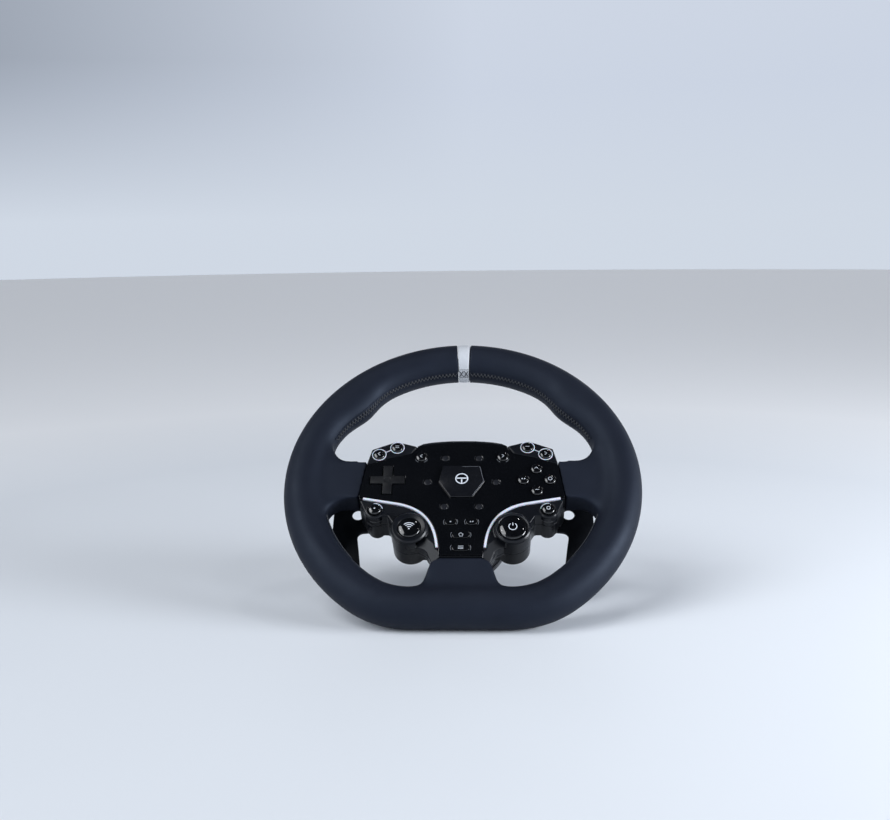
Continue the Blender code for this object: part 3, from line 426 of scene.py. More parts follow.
class Shape:
    """A solid under construction, in millimetres in the wheel's plane."""

    def __init__(self, *recipes):
        self.obj = bpy.data.objects.new("shape", mesh_of(*recipes))
        bpy.context.scene.collection.objects.link(self.obj)

    def apply(self):
        graph = bpy.context.evaluated_depsgraph_get()
        mesh = bpy.data.meshes.new_from_object(self.obj.evaluated_get(graph))
        self.obj.modifiers.clear()
        self.obj.data = mesh
        return self

    def boolean(self, operation, recipes):
        other = bpy.data.objects.new("guide", mesh_of(*recipes))
        bpy.context.scene.collection.objects.link(other)
        modifier = self.obj.modifiers.new(operation, 'BOOLEAN')
        modifier.operation, modifier.object, modifier.use_self = operation, other, True
        self.apply()
        bpy.data.objects.remove(other)
        return self

    def join(self, *recipes):
        return self.boolean('UNION', recipes)

    def cut(self, *recipes):
        return self.boolean('DIFFERENCE', recipes)

    def bevel(self, width, segments=2, angle=35):
        modifier = self.obj.modifiers.new("bevel", 'BEVEL')
        modifier.width, modifier.segments, modifier.limit_method = width, segments, 'ANGLE'
        modifier.angle_limit = math.radians(angle)
        modifier.miter_outer, modifier.use_clamp_overlap = 'MITER_ARC', False
        return self.apply()

    def grid(self, step):
        """Splits the big faces along a grid, so that a face with many holes stays simple."""
        bm = bmesh.new()
        bm.from_mesh(self.obj.data)
        for axis in ((1, 0, 0), (0, 0, 1)):
            reach = [sum(a * c for a, c in zip(axis, v.co)) for v in bm.verts]
            for k in range(math.ceil(min(reach) / step), math.floor(max(reach) / step) + 1):
                bmesh.ops.bisect_plane(bm, geom=bm.verts[:] + bm.edges[:] + bm.faces[:], dist=1e-5,
                                       plane_co=[(k * step + 0.37) * a for a in axis], plane_no=axis)
        bm.to_mesh(self.obj.data)
        bm.free()
        return self

    def remesh(self, voxel):
        modifier = self.obj.modifiers.new("remesh", 'REMESH')
        modifier.mode, modifier.voxel_size, modifier.adaptivity = 'VOXEL', voxel, 0.0
        return self.apply()

    def relax(self, rounds, weight=None, keep_volume=True):
        """Evens out the surface. weight(co) limits where."""
        mesh = self.obj.data
        count = len(mesh.vertices)
        co = np.empty(count * 3)
        mesh.vertices.foreach_get("co", co)
        co = co.reshape(-1, 3)
        edges = np.empty(len(mesh.edges) * 2, int)
        mesh.edges.foreach_get("vertices", edges)
        a, b = edges.reshape(-1, 2).T
        degree = np.bincount(np.concatenate((a, b)), minlength=count)[:, None]
        share = 1.0 if weight is None else weight(co)[:, None]
        ends, others = np.concatenate((a, b)), np.concatenate((b, a))
        for step in range(rounds):
            total = np.stack([np.bincount(ends, co[others, c], count) for c in range(3)], 1)
            factor = -0.53 if keep_volume and step % 2 else 0.5
            co = co + (total / degree - co) * factor * share
        mesh.vertices.foreach_set("co", co.ravel())
        mesh.update()
        return self


def piece(name, shape, look, body, *nodes, slot=None, sharp=30):
    """Puts a finished shape on the wheel under a name, riding on a body and standing for CAD nodes."""
    obj = shape.obj if isinstance(shape, Shape) else Shape(shape).obj
    obj.name = name
    obj.data.name = name
    obj.data.transform(PLACE)
    obj.data.materials.clear()
    obj.data.materials.append(look)
    obj.data.shade_smooth()
    if sharp:
        obj.data.set_sharp_from_angle(angle=math.radians(sharp))
    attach(obj, body)
    if nodes:
        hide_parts(*nodes)
    return obj


# ---------------------------------------------------------------- materials
class Look:
    """A procedural material, made of a shader and the patterns that drive it."""

    def __init__(self, name, **sockets):
        self.mat = bpy.data.materials.new(name + "_finish")
        self.mat.use_nodes = True
        self.tree = self.mat.node_tree
        self.shader = self.tree.nodes["Principled BSDF"]
        for key, value in sockets.items():
            self.shader.inputs[key.replace("_", " ")].default_value = value
        self.coords = self.tree.nodes.new("ShaderNodeTexCoord").outputs["Object"]

    def node(self, kind, **settings):
        node = self.tree.nodes.new(kind)
        for key, value in settings.items():
            if key in node.inputs:
                node.inputs[key].default_value = value
            else:
                setattr(node, key, value)
        return node

    def noise(self, scale, detail=3.0, roughness=0.55):
        node = self.node("ShaderNodeTexNoise", Scale=scale, Detail=detail, Roughness=roughness)
        self.tree.links.new(self.coords, node.inputs["Vector"])
        return node.outputs["Fac"]

    def cells(self, scale, feature='DISTANCE_TO_EDGE', randomness=1.0):
        node = self.node("ShaderNodeTexVoronoi", Scale=scale, feature=feature, Randomness=randomness)
        self.tree.links.new(self.coords, node.inputs["Vector"])
        return node.outputs["Distance"]

    def ramp(self, value, low, high, a, b):
        """Maps a value from low..high to a..b, numbers or colours."""
        if isinstance(a, tuple):
            node = self.node("ShaderNodeValToRGB")
            node.color_ramp.elements[0].position, node.color_ramp.elements[1].position = low, high
            node.color_ramp.elements[0].color, node.color_ramp.elements[1].color = (*a, 1), (*b, 1)
            self.tree.links.new(value, node.inputs["Fac"])
            return node.outputs["Color"]
        node = self.node("ShaderNodeMapRange", **{"From Min": low, "From Max": high, "To Min": a, "To Max": b})
        self.tree.links.new(value, node.inputs["Value"])
        return node.outputs["Result"]

    def colour(self, value, low, high, a, b):
        self.tree.links.new(self.ramp(value, low, high, a, b), self.shader.inputs["Base Color"])
        return self

    def roughness(self, value, low, high, a, b):
        self.tree.links.new(self.ramp(value, low, high, a, b), self.shader.inputs["Roughness"])
        return self

    def bump(self, *layers):
        """Each layer is (height output, strength, distance in metres)."""
        normal = None
        for height, strength, distance in layers:
            node = self.node("ShaderNodeBump", Strength=strength, Distance=distance)
            self.tree.links.new(height, node.inputs["Height"])
            if normal:
                self.tree.links.new(normal, node.inputs["Normal"])
            normal = node.outputs["Normal"]
        self.tree.links.new(normal, self.shader.inputs["Normal"])
        return self


def looks():
    made = {}

    def add(name, **sockets):
        made[name] = Look(name, **sockets)
        return made[name]

    look = add("leather", Specular_IOR_Level=0.24, Specular_Tint=(0.62, 0.76, 1.0, 1))
    look.colour(look.noise(38, 5), 0.3, 0.75, (0.0062, 0.0078, 0.0138), (0.0088, 0.0108, 0.0182))
    look.roughness(look.noise(55, 4), 0.3, 0.7, 0.52, 0.62)
    look.bump((look.cells(950), 0.16, 0.00016), (look.noise(2600, 3), 0.12, 0.0001), (look.noise(90, 3), 0.05, 0.0008))

    look = add("white_leather", Specular_IOR_Level=0.4)
    look.colour(look.noise(120, 4), 0.3, 0.7, (0.47, 0.49, 0.52), (0.54, 0.56, 0.59))
    look.roughness(look.noise(200, 3), 0.3, 0.7, 0.42, 0.55)
    look.bump((look.cells(950), 0.16, 0.00016), (look.noise(2600, 3), 0.1, 0.0001))

    look = add("thread", Roughness=0.75)
    look.colour(look.noise(1500, 2), 0.3, 0.7, (0.026, 0.028, 0.034), (0.050, 0.054, 0.062))
    look.bump((look.noise(5000, 1), 0.3, 0.0001))

    look = add("satin_plastic", Specular_IOR_Level=0.30)
    look.colour(look.noise(60, 3), 0.3, 0.7, (0.0030, 0.0038, 0.0060), (0.0046, 0.0058, 0.0086))
    look.roughness(look.noise(110, 4), 0.3, 0.7, 0.26, 0.33)
    look.bump((look.noise(6000, 2), 0.10, 0.00006))

    look = add("gloss_panel", Specular_IOR_Level=0.5, Coat_Weight=0.3, Coat_Roughness=0.03)
    look.colour(look.noise(30, 2), 0.3, 0.7, (0.0022, 0.0026, 0.0036), (0.0032, 0.0036, 0.0046))
    look.roughness(look.noise(45, 5), 0.35, 0.75, 0.07, 0.13)
    look.bump((look.noise(700, 2), 0.015, 0.00005))

    look = add("gloss_button", Specular_IOR_Level=0.6, Coat_Weight=0.5, Coat_Roughness=0.02)
    look.colour(look.noise(200, 2), 0.3, 0.7, (0.0022, 0.0025, 0.0032), (0.0034, 0.0037, 0.0045))
    look.roughness(look.noise(260, 4), 0.35, 0.75, 0.05, 0.10)
    look.bump((look.noise(1500, 2), 0.01, 0.00005))

    look = add("matte_plastic", Specular_IOR_Level=0.26)
    look.colour(look.noise(90, 3), 0.3, 0.7, (0.0026, 0.0031, 0.0044), (0.0038, 0.0045, 0.0062))
    look.roughness(look.noise(160, 3), 0.3, 0.7, 0.44, 0.54)
    look.bump((look.noise(7000, 2), 0.14, 0.00006))

    look = add("badge", Specular_IOR_Level=0.5, Coat_Weight=0.3, Coat_Roughness=0.04)
    look.colour(look.noise(90, 3), 0.3, 0.7, (0.0052, 0.0058, 0.0078), (0.0068, 0.0074, 0.0095))
    look.roughness(look.noise(120, 4), 0.3, 0.7, 0.14, 0.20)
    look.bump((look.noise(3000, 2), 0.04, 0.00005))

    look = add("light_strip", Specular_IOR_Level=0.5, Subsurface_Weight=0.25, Subsurface_Scale=0.002)
    look.colour(look.noise(150, 2), 0.3, 0.7, (0.60, 0.63, 0.72), (0.66, 0.69, 0.77))
    look.roughness(look.noise(300, 3), 0.3, 0.7, 0.28, 0.36)
    look.bump((look.noise(2500, 2), 0.04, 0.00005))

    look = add("print", Specular_IOR_Level=0.4)
    look.colour(look.noise(400, 2), 0.3, 0.7, (0.62, 0.66, 0.72), (0.70, 0.74, 0.80))
    look.roughness(look.noise(300, 2), 0.3, 0.7, 0.35, 0.45)
    look.bump((look.noise(6000, 2), 0.08, 0.00004))

    # grey ink for the key brackets; the same grey also paints the highlight lines on the badge's right edges
    look = add("grey_print_and_painted_highlight", Specular_IOR_Level=0.4)
    look.colour(look.noise(400, 2), 0.3, 0.7, (0.20, 0.21, 0.24), (0.26, 0.28, 0.31))
    look.roughness(look.noise(300, 2), 0.3, 0.7, 0.35, 0.45)
    look.bump((look.noise(6000, 2), 0.08, 0.00004))

    look = add("dim_print", Specular_IOR_Level=0.4)
    look.colour(look.noise(400, 2), 0.3, 0.7, (0.018, 0.020, 0.024), (0.026, 0.028, 0.033))
    look.roughness(look.noise(300, 2), 0.3, 0.7, 0.35, 0.45)
    look.bump((look.noise(6000, 2), 0.08, 0.00004))

    look = add("light_guide", Specular_IOR_Level=0.5)
    look.colour(look.noise(300, 2), 0.3, 0.7, (0.010, 0.011, 0.014), (0.014, 0.015, 0.019))
    look.roughness(look.noise(200, 2), 0.3, 0.7, 0.16, 0.26)
    look.bump((look.noise(2500, 2), 0.05, 0.00005))

    look = add("black_metal", Metallic=0.55, Specular_IOR_Level=0.5)
    look.colour(look.noise(70, 4), 0.3, 0.7, (0.0105, 0.0120, 0.0160), (0.0150, 0.0170, 0.0220))
    look.roughness(look.noise(140, 5), 0.3, 0.75, 0.36, 0.48)
    look.bump((look.noise(5200, 2), 0.14, 0.00007))

    look = add("steel", Metallic=1.0)
    look.colour(look.noise(160, 4), 0.3, 0.7, (0.46, 0.47, 0.49), (0.58, 0.59, 0.61))
    look.roughness(look.noise(320, 4), 0.3, 0.7, 0.22, 0.36)
    look.bump((look.noise(2800, 2), 0.06, 0.00005))

    look = add("alloy", Metallic=1.0)
    look.colour(look.noise(110, 4), 0.3, 0.7, (0.52, 0.53, 0.55), (0.62, 0.63, 0.65))
    look.roughness(look.noise(210, 4), 0.3, 0.7, 0.32, 0.46)
    look.bump((look.noise(2200, 2), 0.10, 0.00006))

    look = add("circuit_board", Specular_IOR_Level=0.5)
    look.colour(look.cells(260, 'F1', 0.4), 0.25, 0.35, (0.004, 0.034, 0.016), (0.010, 0.058, 0.028))
    look.roughness(look.noise(240, 3), 0.3, 0.7, 0.30, 0.45)
    look.bump((look.noise(1800, 2), 0.10, 0.00008))

    look = add("contact_plastic", Specular_IOR_Level=0.5)
    look.colour(look.noise(160, 3), 0.3, 0.7, (0.014, 0.014, 0.016), (0.020, 0.020, 0.023))
    look.roughness(look.noise(260, 3), 0.3, 0.7, 0.38, 0.48)
    look.bump((look.noise(3800, 2), 0.1, 0.00006))
    return {name: look.mat for name, look in made.items()}


L = looks()


# ---------------------------------------------------------------- rim
def corner_centre():
    w = FLAT_W + CORNER_R
    x = math.sqrt((RIM_R - CORNER_R) ** 2 - w * w)
    return x, w, math.atan2(w, x)


def rim_length():
    x, _, end = corner_centre()
    return RIM_R * (math.pi / 2 - end) + CORNER_R * (math.pi / 2 + end) + x


def rim_station(s):
    """Centre and outward direction of the rim at a distance s clockwise from the top."""
    side, s = (1.0 if s >= 0 else -1.0), abs(s)
    cx, cw, end = corner_centre()
    round_length = RIM_R * (math.pi / 2 - end)
    corner_length = CORNER_R * (math.pi / 2 + end)
    if s <= round_length:
        a = math.pi / 2 - s / RIM_R
        x, w, ox, ow = RIM_R * math.cos(a), RIM_R * math.sin(a), math.cos(a), math.sin(a)
    elif s <= round_length + corner_length:
        a = end - (s - round_length) / CORNER_R
        x, w, ox, ow = cx + CORNER_R * math.cos(a), cw + CORNER_R * math.sin(a), math.cos(a), math.sin(a)
    else:
        x, w, ox, ow = cx - (s - round_length - corner_length), FLAT_W, 0.0, -1.0
    return (side * x, w), (side * ox, ow)


def grip_radius(s, a):
    """The grip's radius at s, at an angle a round the section from its outer side."""
    bump_at = RIM_R * math.radians(90 - BULGE_ANGLE)
    bump = BULGE * math.exp(-((abs(s) - bump_at) / BULGE_SPREAD) ** 2)
    return TUBE_R + bump * max(0.0, -math.cos(a)) ** 2


def on_grip(s, a, lift=0.0):
    """A point of the grip's surface as (x, w, n)."""
    (x, w), (ox, ow) = rim_station(s)
    r = grip_radius(s, a) + lift
    return (x + ox * r * math.cos(a), w + ow * r * math.cos(a), r * math.sin(a))


def sweep(stops, section, closed=False):
    """A recipe for a section, a function of s giving (outwards, n) pairs, carried along the rim."""
    def build(bm):
        rings = []
        for s in stops:
            (x, w), (ox, ow) = rim_station(s)
            rings.append([bm.verts.new(point(x + ox * d, w + ow * d, n)) for d, n in section(s)])
        for ring_a, ring_b in list(zip(rings, rings[1:])) + ([(rings[-1], rings[0])] if closed else []):
            for i in range(len(ring_a)):
                j = (i + 1) % len(ring_a)
                bm.faces.new((ring_a[i], ring_a[j], ring_b[j], ring_b[i]))
        if not closed:
            bm.faces.new(rings[0])
            bm.faces.new(rings[-1])
    return build


def round_section(lift=0.0, sides=64):
    def section(s):
        turns = [2 * math.pi * i / sides for i in range(sides)]
        return [((grip_radius(s, a) + lift) * math.cos(a), (grip_radius(s, a) + lift) * math.sin(a)) for a in turns]
    return section


SEAM_ANGLE = math.radians(180 - 14)     # the lacing runs along the inner side, just towards the driver


def make_rim():
    half = rim_length()
    edge = BAND_HALF + 0.35
    stops = np.linspace(edge, 2 * half - edge, 360)
    stops = [s if s <= half else s - 2 * half for s in stops]
    grip = Shape(sweep(stops, round_section()))
    covers = [prism(rounded(o, 6), SPOKE_BACK, SPOKE_FRONT) for o in (side_spoke(), flip(side_spoke()), bottom_spoke())]
    grip.join(*covers)
    grip.cut(*[prism(outline, PLATE_BACK + 0.2 - GAP, PLATE_FRONT - 0.2 + GAP) for outline in arm_spokes(GAP)])
    grip.remesh(1.0)

    def near_spokes(co):
        x, w = np.abs(co[:, 0]), co[:, 2]
        to_round = np.abs(np.hypot(x, w) - 109.0)
        side = np.clip(1.5 - to_round / 14.0, 0, 1) * np.clip((72 - np.abs(w)) / 14.0, 0, 1) * (x > 68)
        foot = np.clip(1.4 - np.abs(w + 99.0) / 11.0, 0, 1) * (x < 60) * (w < -70)
        front = np.abs(co[:, 1]) > 3.0
        return np.clip(np.maximum(side, foot), 0, 1) * front

    grip.relax(14).relax(80, near_spokes, keep_volume=False).relax(8)
    piece("rim_cover", grip, L["leather"], "wheel", "rim_grip", sharp=0)

    # the white band at the top, its cross stitches and the seams beside it
    stops = np.linspace(-BAND_HALF + 0.25, BAND_HALF - 0.25, 24)
    profile = [-0.5 * abs(2 * i / 23 - 1) ** 8 + 0.0 for i in range(24)]
    lifts = dict(zip([round(float(s), 4) for s in stops], profile))
    band = sweep([float(s) for s in stops], lambda s: round_section(lifts[round(s, 4)], 96)(s))
    piece("rim_band", Shape(band), L["white_leather"], "wheel", "centre_band", slot="white_leather", sharp=40)
    threads = []
    base = SEAM_ANGLE - math.radians(3)
    for s0 in (-2.3, 2.3):
        for slope in (-1, 1):
            line = [on_grip(s0 + slope * 1.9 * t, base + 0.17 * t, 0.16 + 0.12 * (1 - t * t)) for t in np.linspace(-1, 1, 9)]
            threads.append(tube(line, 0.28))
    for shift in (-0.24, 0.24):
        line = [on_grip(4.5 * t, base + shift, 0.02) for t in np.linspace(-1, 1, 11)]
        threads.append(tube(line, 0.2))

    piece("band_stitches", Shape(*threads), L["thread"], "wheel", slot="leather", sharp=0)

    # the lacing that closes the cover along the inner side of the rim
    laces = []
    for side in (-1, 1):
        for first, last in ((7.5, 149.0), (222.0, 286.0)):
            count = int((last - first) / 3.3)
            for i in range(count):
                s0 = first + (last - first) * i / count
                line = [on_grip(side * (s0 + 1.5 * t), SEAM_ANGLE + 0.105 * t, 0.05 + 0.3 * (1 - t * t))
                        for t in np.linspace(-1, 1, 7)]
                laces.append(tube(line, 0.34, 6))
                line = [on_grip(side * (s0 + 1.65 - 1.5 * t), SEAM_ANGLE + 0.105 * t, 0.02 + 0.22 * (1 - t * t))
                        for t in np.linspace(-1, 1, 7)]
                laces.append(tube(line, 0.3, 6))
    piece("rim_lacing", Shape(*laces), L["thread"], "wheel", slot="leather", sharp=0)
    for shift, mark in ((-0.15, "front"), (0.15, "back")):
        lines = []
        for side in (-1, 1):
            for first, last in ((6.5, 150.0), (220.0, 288.0)):
                line = [on_grip(side * s, SEAM_ANGLE + shift, -0.05) for s in np.linspace(first, last, 90)]
                lines.append(tube(line, 0.32, 6))
        piece(f"rim_seam_{mark}", Shape(*lines), L["leather"], "wheel", slot="leather", sharp=0)


# ---------------------------------------------------------------- housing
def key_holes(n0, n1, radius, margin=GAP):
    places = [(x, w) for x, w, _ in round_buttons().values()]
    keys = [prism(stadium(x, w, hx + margin, hw + margin), n0, n1) for x, w, hx, hw in FLAT_KEYS.values()]
    pad = prism(rounded(cross(*PAD_CENTRE, PAD_REACH + 0.6, PAD_HALF + 0.6), 0.9), n0, n1)
    lights = turned(disc(INDICATOR_R + margin, n0, n1), INDICATORS, 32)
    return [turned(disc(radius, n0, n1), places, 48), pad, lights] + keys


def slots():
    return [prism(outline, PLATE_BACK - GAP, PLATE_FRONT + GAP) for outline in arm_spokes(GAP)]


def slab(n0, n1):
    return prism([(-200, -200), (200, -200), (200, 200), (-200, 200)], n0, n1)


def arm_wedge(bm):
    """The space above the two arms' slanting fronts."""
    level, along_x, along_w, scale = ARM_TOP
    outline = [(16.0, -57.0), (34.0, -57.0), (34.0, -82.0), (16.0, -82.0)]
    for side in (-1, 1):
        lower, upper = [], []
        for x, w in outline:
            lower.append(bm.verts.new(point(side * x, w, (level + along_x * x + along_w * w) / scale)))
            upper.append(bm.verts.new(point(side * x, w, 30.0)))
        for i in range(4):
            j = (i + 1) % 4
            bm.faces.new((lower[i], lower[j], upper[j], upper[i]))
        bm.faces.new(lower)
        bm.faces.new(upper)


def make_housing():
    split = SPLIT_N + GAP / 2
    front = Shape(prism(core_outline(), split - 2.0, ROOF_TOP))
    big = disc(BIG_POD_R, split - 3.6, BIG_POD_TOP)
    small = [(0, split - 3.9), (SMALL_POD_R - 0.6, split - 3.9), (SMALL_POD_R - 0.6, 3.0),
             (SMALL_POD_R, 5.0), (SMALL_POD_R, SMALL_POD_TOP - 1.2), (SMALL_POD_R - 1.2, SMALL_POD_TOP),
             (0, SMALL_POD_TOP)]
    wing, shelf = rounded(wing_outline(), 1.5), rounded(shelf_outline(), 1.2)
    front.join(prism(wing, split - 2.3, WING_TOP, 0.8), prism(flip(wing), split - 2.3, WING_TOP, 0.8),
               prism(bezel_outline(), split - 2.6, WING_TOP + 0.2, 0.5),
               prism(shelf, split - 2.9, SHELF_TOP, 0.7), prism(flip(shelf), split - 2.9, SHELF_TOP, 0.7),
               prism(foot_outline(), split - 3.2, ROOF_TOP - 0.2),
               turned(big, mirrored(BIG_POD), 64), turned(small, mirrored(SMALL_POD), 48))
    front.cut(slab(-60.0, split), prism(pocket_outline(), -50.0, ROOF_BOTTOM),
              turned(disc(BIG_POD_R - WALL, -40.0, BIG_POD_TOP - 3.5), mirrored(BIG_POD), 48),
              turned(disc(SMALL_POD_R - 2.0, -30.0, SMALL_POD_TOP - 3.0), mirrored(SMALL_POD), 32))
    front.cut(*key_holes(ROOF_BOTTOM - 3.1, WING_TOP + 3, HOLE_R),
              turned(disc(START_R + GAP + 0.1, 2.0, BIG_POD_TOP + 5), [BIG_POD], 64),
              turned(disc(RADIO_R + GAP + 0.1, 2.0, BIG_POD_TOP + 5), mirrored(BIG_POD)[1:], 64),
              turned(disc(SMALL_CAP_R + GAP, 2.0, SMALL_POD_TOP + 5), mirrored(SMALL_POD), 48), arm_wedge, *slots())
    front.remesh(0.42).relax(6)
    piece("housing_front", front, L["satin_plastic"], "wheel", "front_housing", sharp=0)

    split = SPLIT_N - GAP / 2
    rear = Shape(prism(rounded(BODY, 2.0), BACK_N, split + 2.0, 1.2))
    lower = [(-90, -26.5), (-31.0, -26.5), (-22.5, -58.0), (-26.0, -90.0), (-90, -90)]
    arm = [(16.9, -60.0), (60.0, -60.0), (60.0, -90.0), (16.9, -90.0)]
    rear.cut(prism(lower, -60.0, POD_BACK + 0.9), prism(flip(lower), -60.0, POD_BACK + 0.9),
             prism(arm, -60.0, ARM_BACK), prism(flip(arm), -60.0, ARM_BACK))
    big = [(0, POD_BACK), (BIG_POD_R - 1.6, POD_BACK), (BIG_POD_R - 0.5, POD_BACK + 1.2),
           (BIG_POD_R - 0.2, split + 2.3), (0, split + 2.3)]
    small = [(0, SMALL_POD_BACK), (SMALL_POD_R - 1.8, SMALL_POD_BACK), (SMALL_POD_R - 0.8, SMALL_POD_BACK + 1.2),
             (SMALL_POD_R - 0.5, split + 2.6), (0, split + 2.6)]
    rear.join(turned(soften(big, 1.2), mirrored(BIG_POD), 64), turned(soften(small, 0.8), mirrored(SMALL_POD), 48))
    lugs = [prism(rounded(rectangle(x, w, 3.4, 2.0), 0.6), HINGE_N - 3.4, BACK_N + 1.0)
            for x in (-HINGE_X, HINGE_X) for w in (LUG_LOW, LUG_HIGH)]
    rear.join(*lugs)
    sink = [(0, -60.0), (2.9, -60.0), (2.9, BACK_N + 2.4), (1.5, BACK_N + 2.4), (1.5, 60.0), (0, 60.0)]
    rear.cut(slab(split, 60.0), prism(pocket_outline(), BACK_N + 5.5, 50.0),
             turned(disc(BIG_POD_R - 0.6 - WALL, POD_BACK + 4.0, 40.0), mirrored(BIG_POD), 48),
             turned(disc(SMALL_POD_R - 2.8, SMALL_POD_BACK + 4.0, 30.0), mirrored(SMALL_POD), 32))
    rear.cut(*[rod(x, PIN_R + GAP, LUG_LOW - 5, LUG_HIGH + 5) for x in (-HINGE_X, HINGE_X)],
             turned(disc(BOSS_R + GAP, -60.0, 60.0), sides=96), turned(sink, SCREWS, 32), *slots())
    rear.remesh(0.5).relax(6)
    piece("housing_rear", rear, L["satin_plastic"], "wheel", "rear_housing", sharp=0)


def rod(x, radius, w0, w1, sides=32):
    """A recipe for a rod along the wheel's height on a paddle's hinge."""
    def build(bm):
        turns = [2 * math.pi * i / sides for i in range(sides)]
        stations = [(w0, radius - 0.25), (w0 + 0.25, radius), (w1 - 0.25, radius), (w1, radius - 0.25)]
        rings = [[bm.verts.new(point(x + r * math.cos(a), w, HINGE_N + r * math.sin(a))) for a in turns]
                 for w, r in stations]
        for ring_a, ring_b in zip(rings, rings[1:]):
            for i in range(sides):
                j = (i + 1) % sides
                bm.faces.new((ring_a[i], ring_a[j], ring_b[j], ring_b[i]))
        bm.faces.new(rings[0])
        bm.faces.new(rings[-1])
    return build


# ---------------------------------------------------------------- panel and trim
def make_panel():
    panel = Shape(prism(rounded(panel_outline(), 0.8), ROOF_TOP + GAP, PANEL_TOP)).grid(9.0)
    panel.cut(*key_holes(ROOF_TOP - 3, PANEL_TOP + 3, CAP_R + GAP))
    panel.bevel(0.22)
    piece("panel_glass", panel, L["gloss_panel"], "wheel", "face_panel", sharp=12)

    outline = both_sides([(0, 7.8), (14.6, 7.8), (17.9, -7.0), (8.6, -21.6)])
    plaque = Shape(prism(rounded(outline, 0.9), PANEL_TOP + GAP, PANEL_TOP + 1.4, 0.35))
    piece("badge_plaque", plaque, L["badge"], "wheel", "centre_badge")
    top = PANEL_TOP + 1.4
    flat = lambda x, w: top
    # painted highlight: the grey lines along the plaque's right edges and the right half of its top edge stand in for
    # its chamfer catching the light from the right
    right = [(13.4, 6.9), (14.0, 6.7), (16.9, -6.9), (8.3, -20.4)]
    lines = [ribbon(right, 0.09, flat), ribbon([(1.0, 7.0), (12.6, 7.0)], 0.06, flat)]
    piece("badge_painted_edge_highlight", Shape(*lines), L["grey_print_and_painted_highlight"], "wheel", slot="light_strip")
    ring = [(4.6 * math.cos(a), -4.6 + 4.6 * math.sin(a)) for a in np.linspace(0, 2 * math.pi, 49)[:-1]]
    spokes = [[(-3.9, -4.2), (3.9, -4.2)], [(0.0, -5.2), (0.0, -8.6)]]
    mark = [ribbon(ring, 0.42, flat, closed=True)] + [ribbon(line, 0.5, flat) for line in spokes]
    piece("badge_mark", Shape(*mark), L["print"], "wheel", slot="light_strip")

    line = line_offset(STRIP_LINE, STRIP_HALF) + list(reversed(line_offset(STRIP_LINE, -STRIP_HALF)))
    for outline, mark in ((line, "right"), (flip(line), "left")):
        strip = Shape(prism(outline, ROOF_TOP + GAP, PANEL_TOP + 0.3, 0.4))
        piece(f"strip_lens_{mark}", strip, L["light_strip"], "wheel", f"light_strip_{mark}")

    n0, n1 = WING_TOP + GAP, WING_TOP + GAP + 0.45
    inner, outer = CAP_R + 0.72, CAP_R + 1.3
    for mark in ("left", "right"):
        a, b = (round_buttons()[f"wing_button_{k}_{mark}"] for k in ("outer", "inner"))
        length = math.hypot(b[0] - a[0], b[1] - a[1])
        ux, uw = (b[0] - a[0]) / length, (b[1] - a[1]) / length
        bar = [(a[0] + ux * d - uw * h, a[1] + uw * d + ux * h)
               for d, h in ((outer - 0.3, -0.2), (length - outer + 0.3, -0.2), (length - outer + 0.3, 0.2), (outer - 0.3, 0.2))]
        profile = soften([(inner, n0), (outer, n0), (outer, n1), (inner, n1)], 0.15)
        rings = Shape(turned(profile, [a[:2], b[:2]], 72))
        rings.join(prism(bar, n0, n1 - 0.04))
        piece(f"wing_ring_{mark}", rings, L["light_strip"], "wheel", f"wing_light_ring_{mark}")

    marks = []
    for x, w, half_x, half_w in FLAT_KEYS.values():
        reach = half_x + 1.1
        for side in (-1, 1):
            marks.append([(x + side * (reach - 0.9 * (v / 2.4) ** 2), w + v) for v in np.linspace(-2.2, 2.2, 9)])
    surface = lambda x, w: PANEL_TOP
    brackets = [ribbon(line, 0.10, surface) for line in marks]
    for mark in ("left", "right"):
        x, w, _ = round_buttons()[f"page_button_{mark}"]
        brackets.append(ribbon(arc(x, w, CAP_R + 0.8, 200, 245, 10), 0.09, surface))
        brackets.append(ribbon(arc(x, w, CAP_R + 0.8, 295, 340, 10), 0.09, surface))
    piece("key_brackets", Shape(*brackets), L["grey_print_and_painted_highlight"], "wheel", slot="light_strip")
    dim = []
    for x, w in INDICATORS:
        for start in (140, -40):
            dim.append(ribbon(arc(x, w, INDICATOR_R + 1.0, start, start + 70, 10), 0.09, surface))
    piece("indicator_marks", Shape(*dim), L["dim_print"], "wheel", slot="light_guide")
    lenses = [turned(soften([(0, ROOF_BOTTOM), (INDICATOR_R, ROOF_BOTTOM), (INDICATOR_R, PANEL_TOP - 0.05),
                             (0, PANEL_TOP + 0.05)], 0.3), INDICATORS, 32)]
    piece("indicator_lenses", Shape(*lenses), L["light_guide"], "wheel")


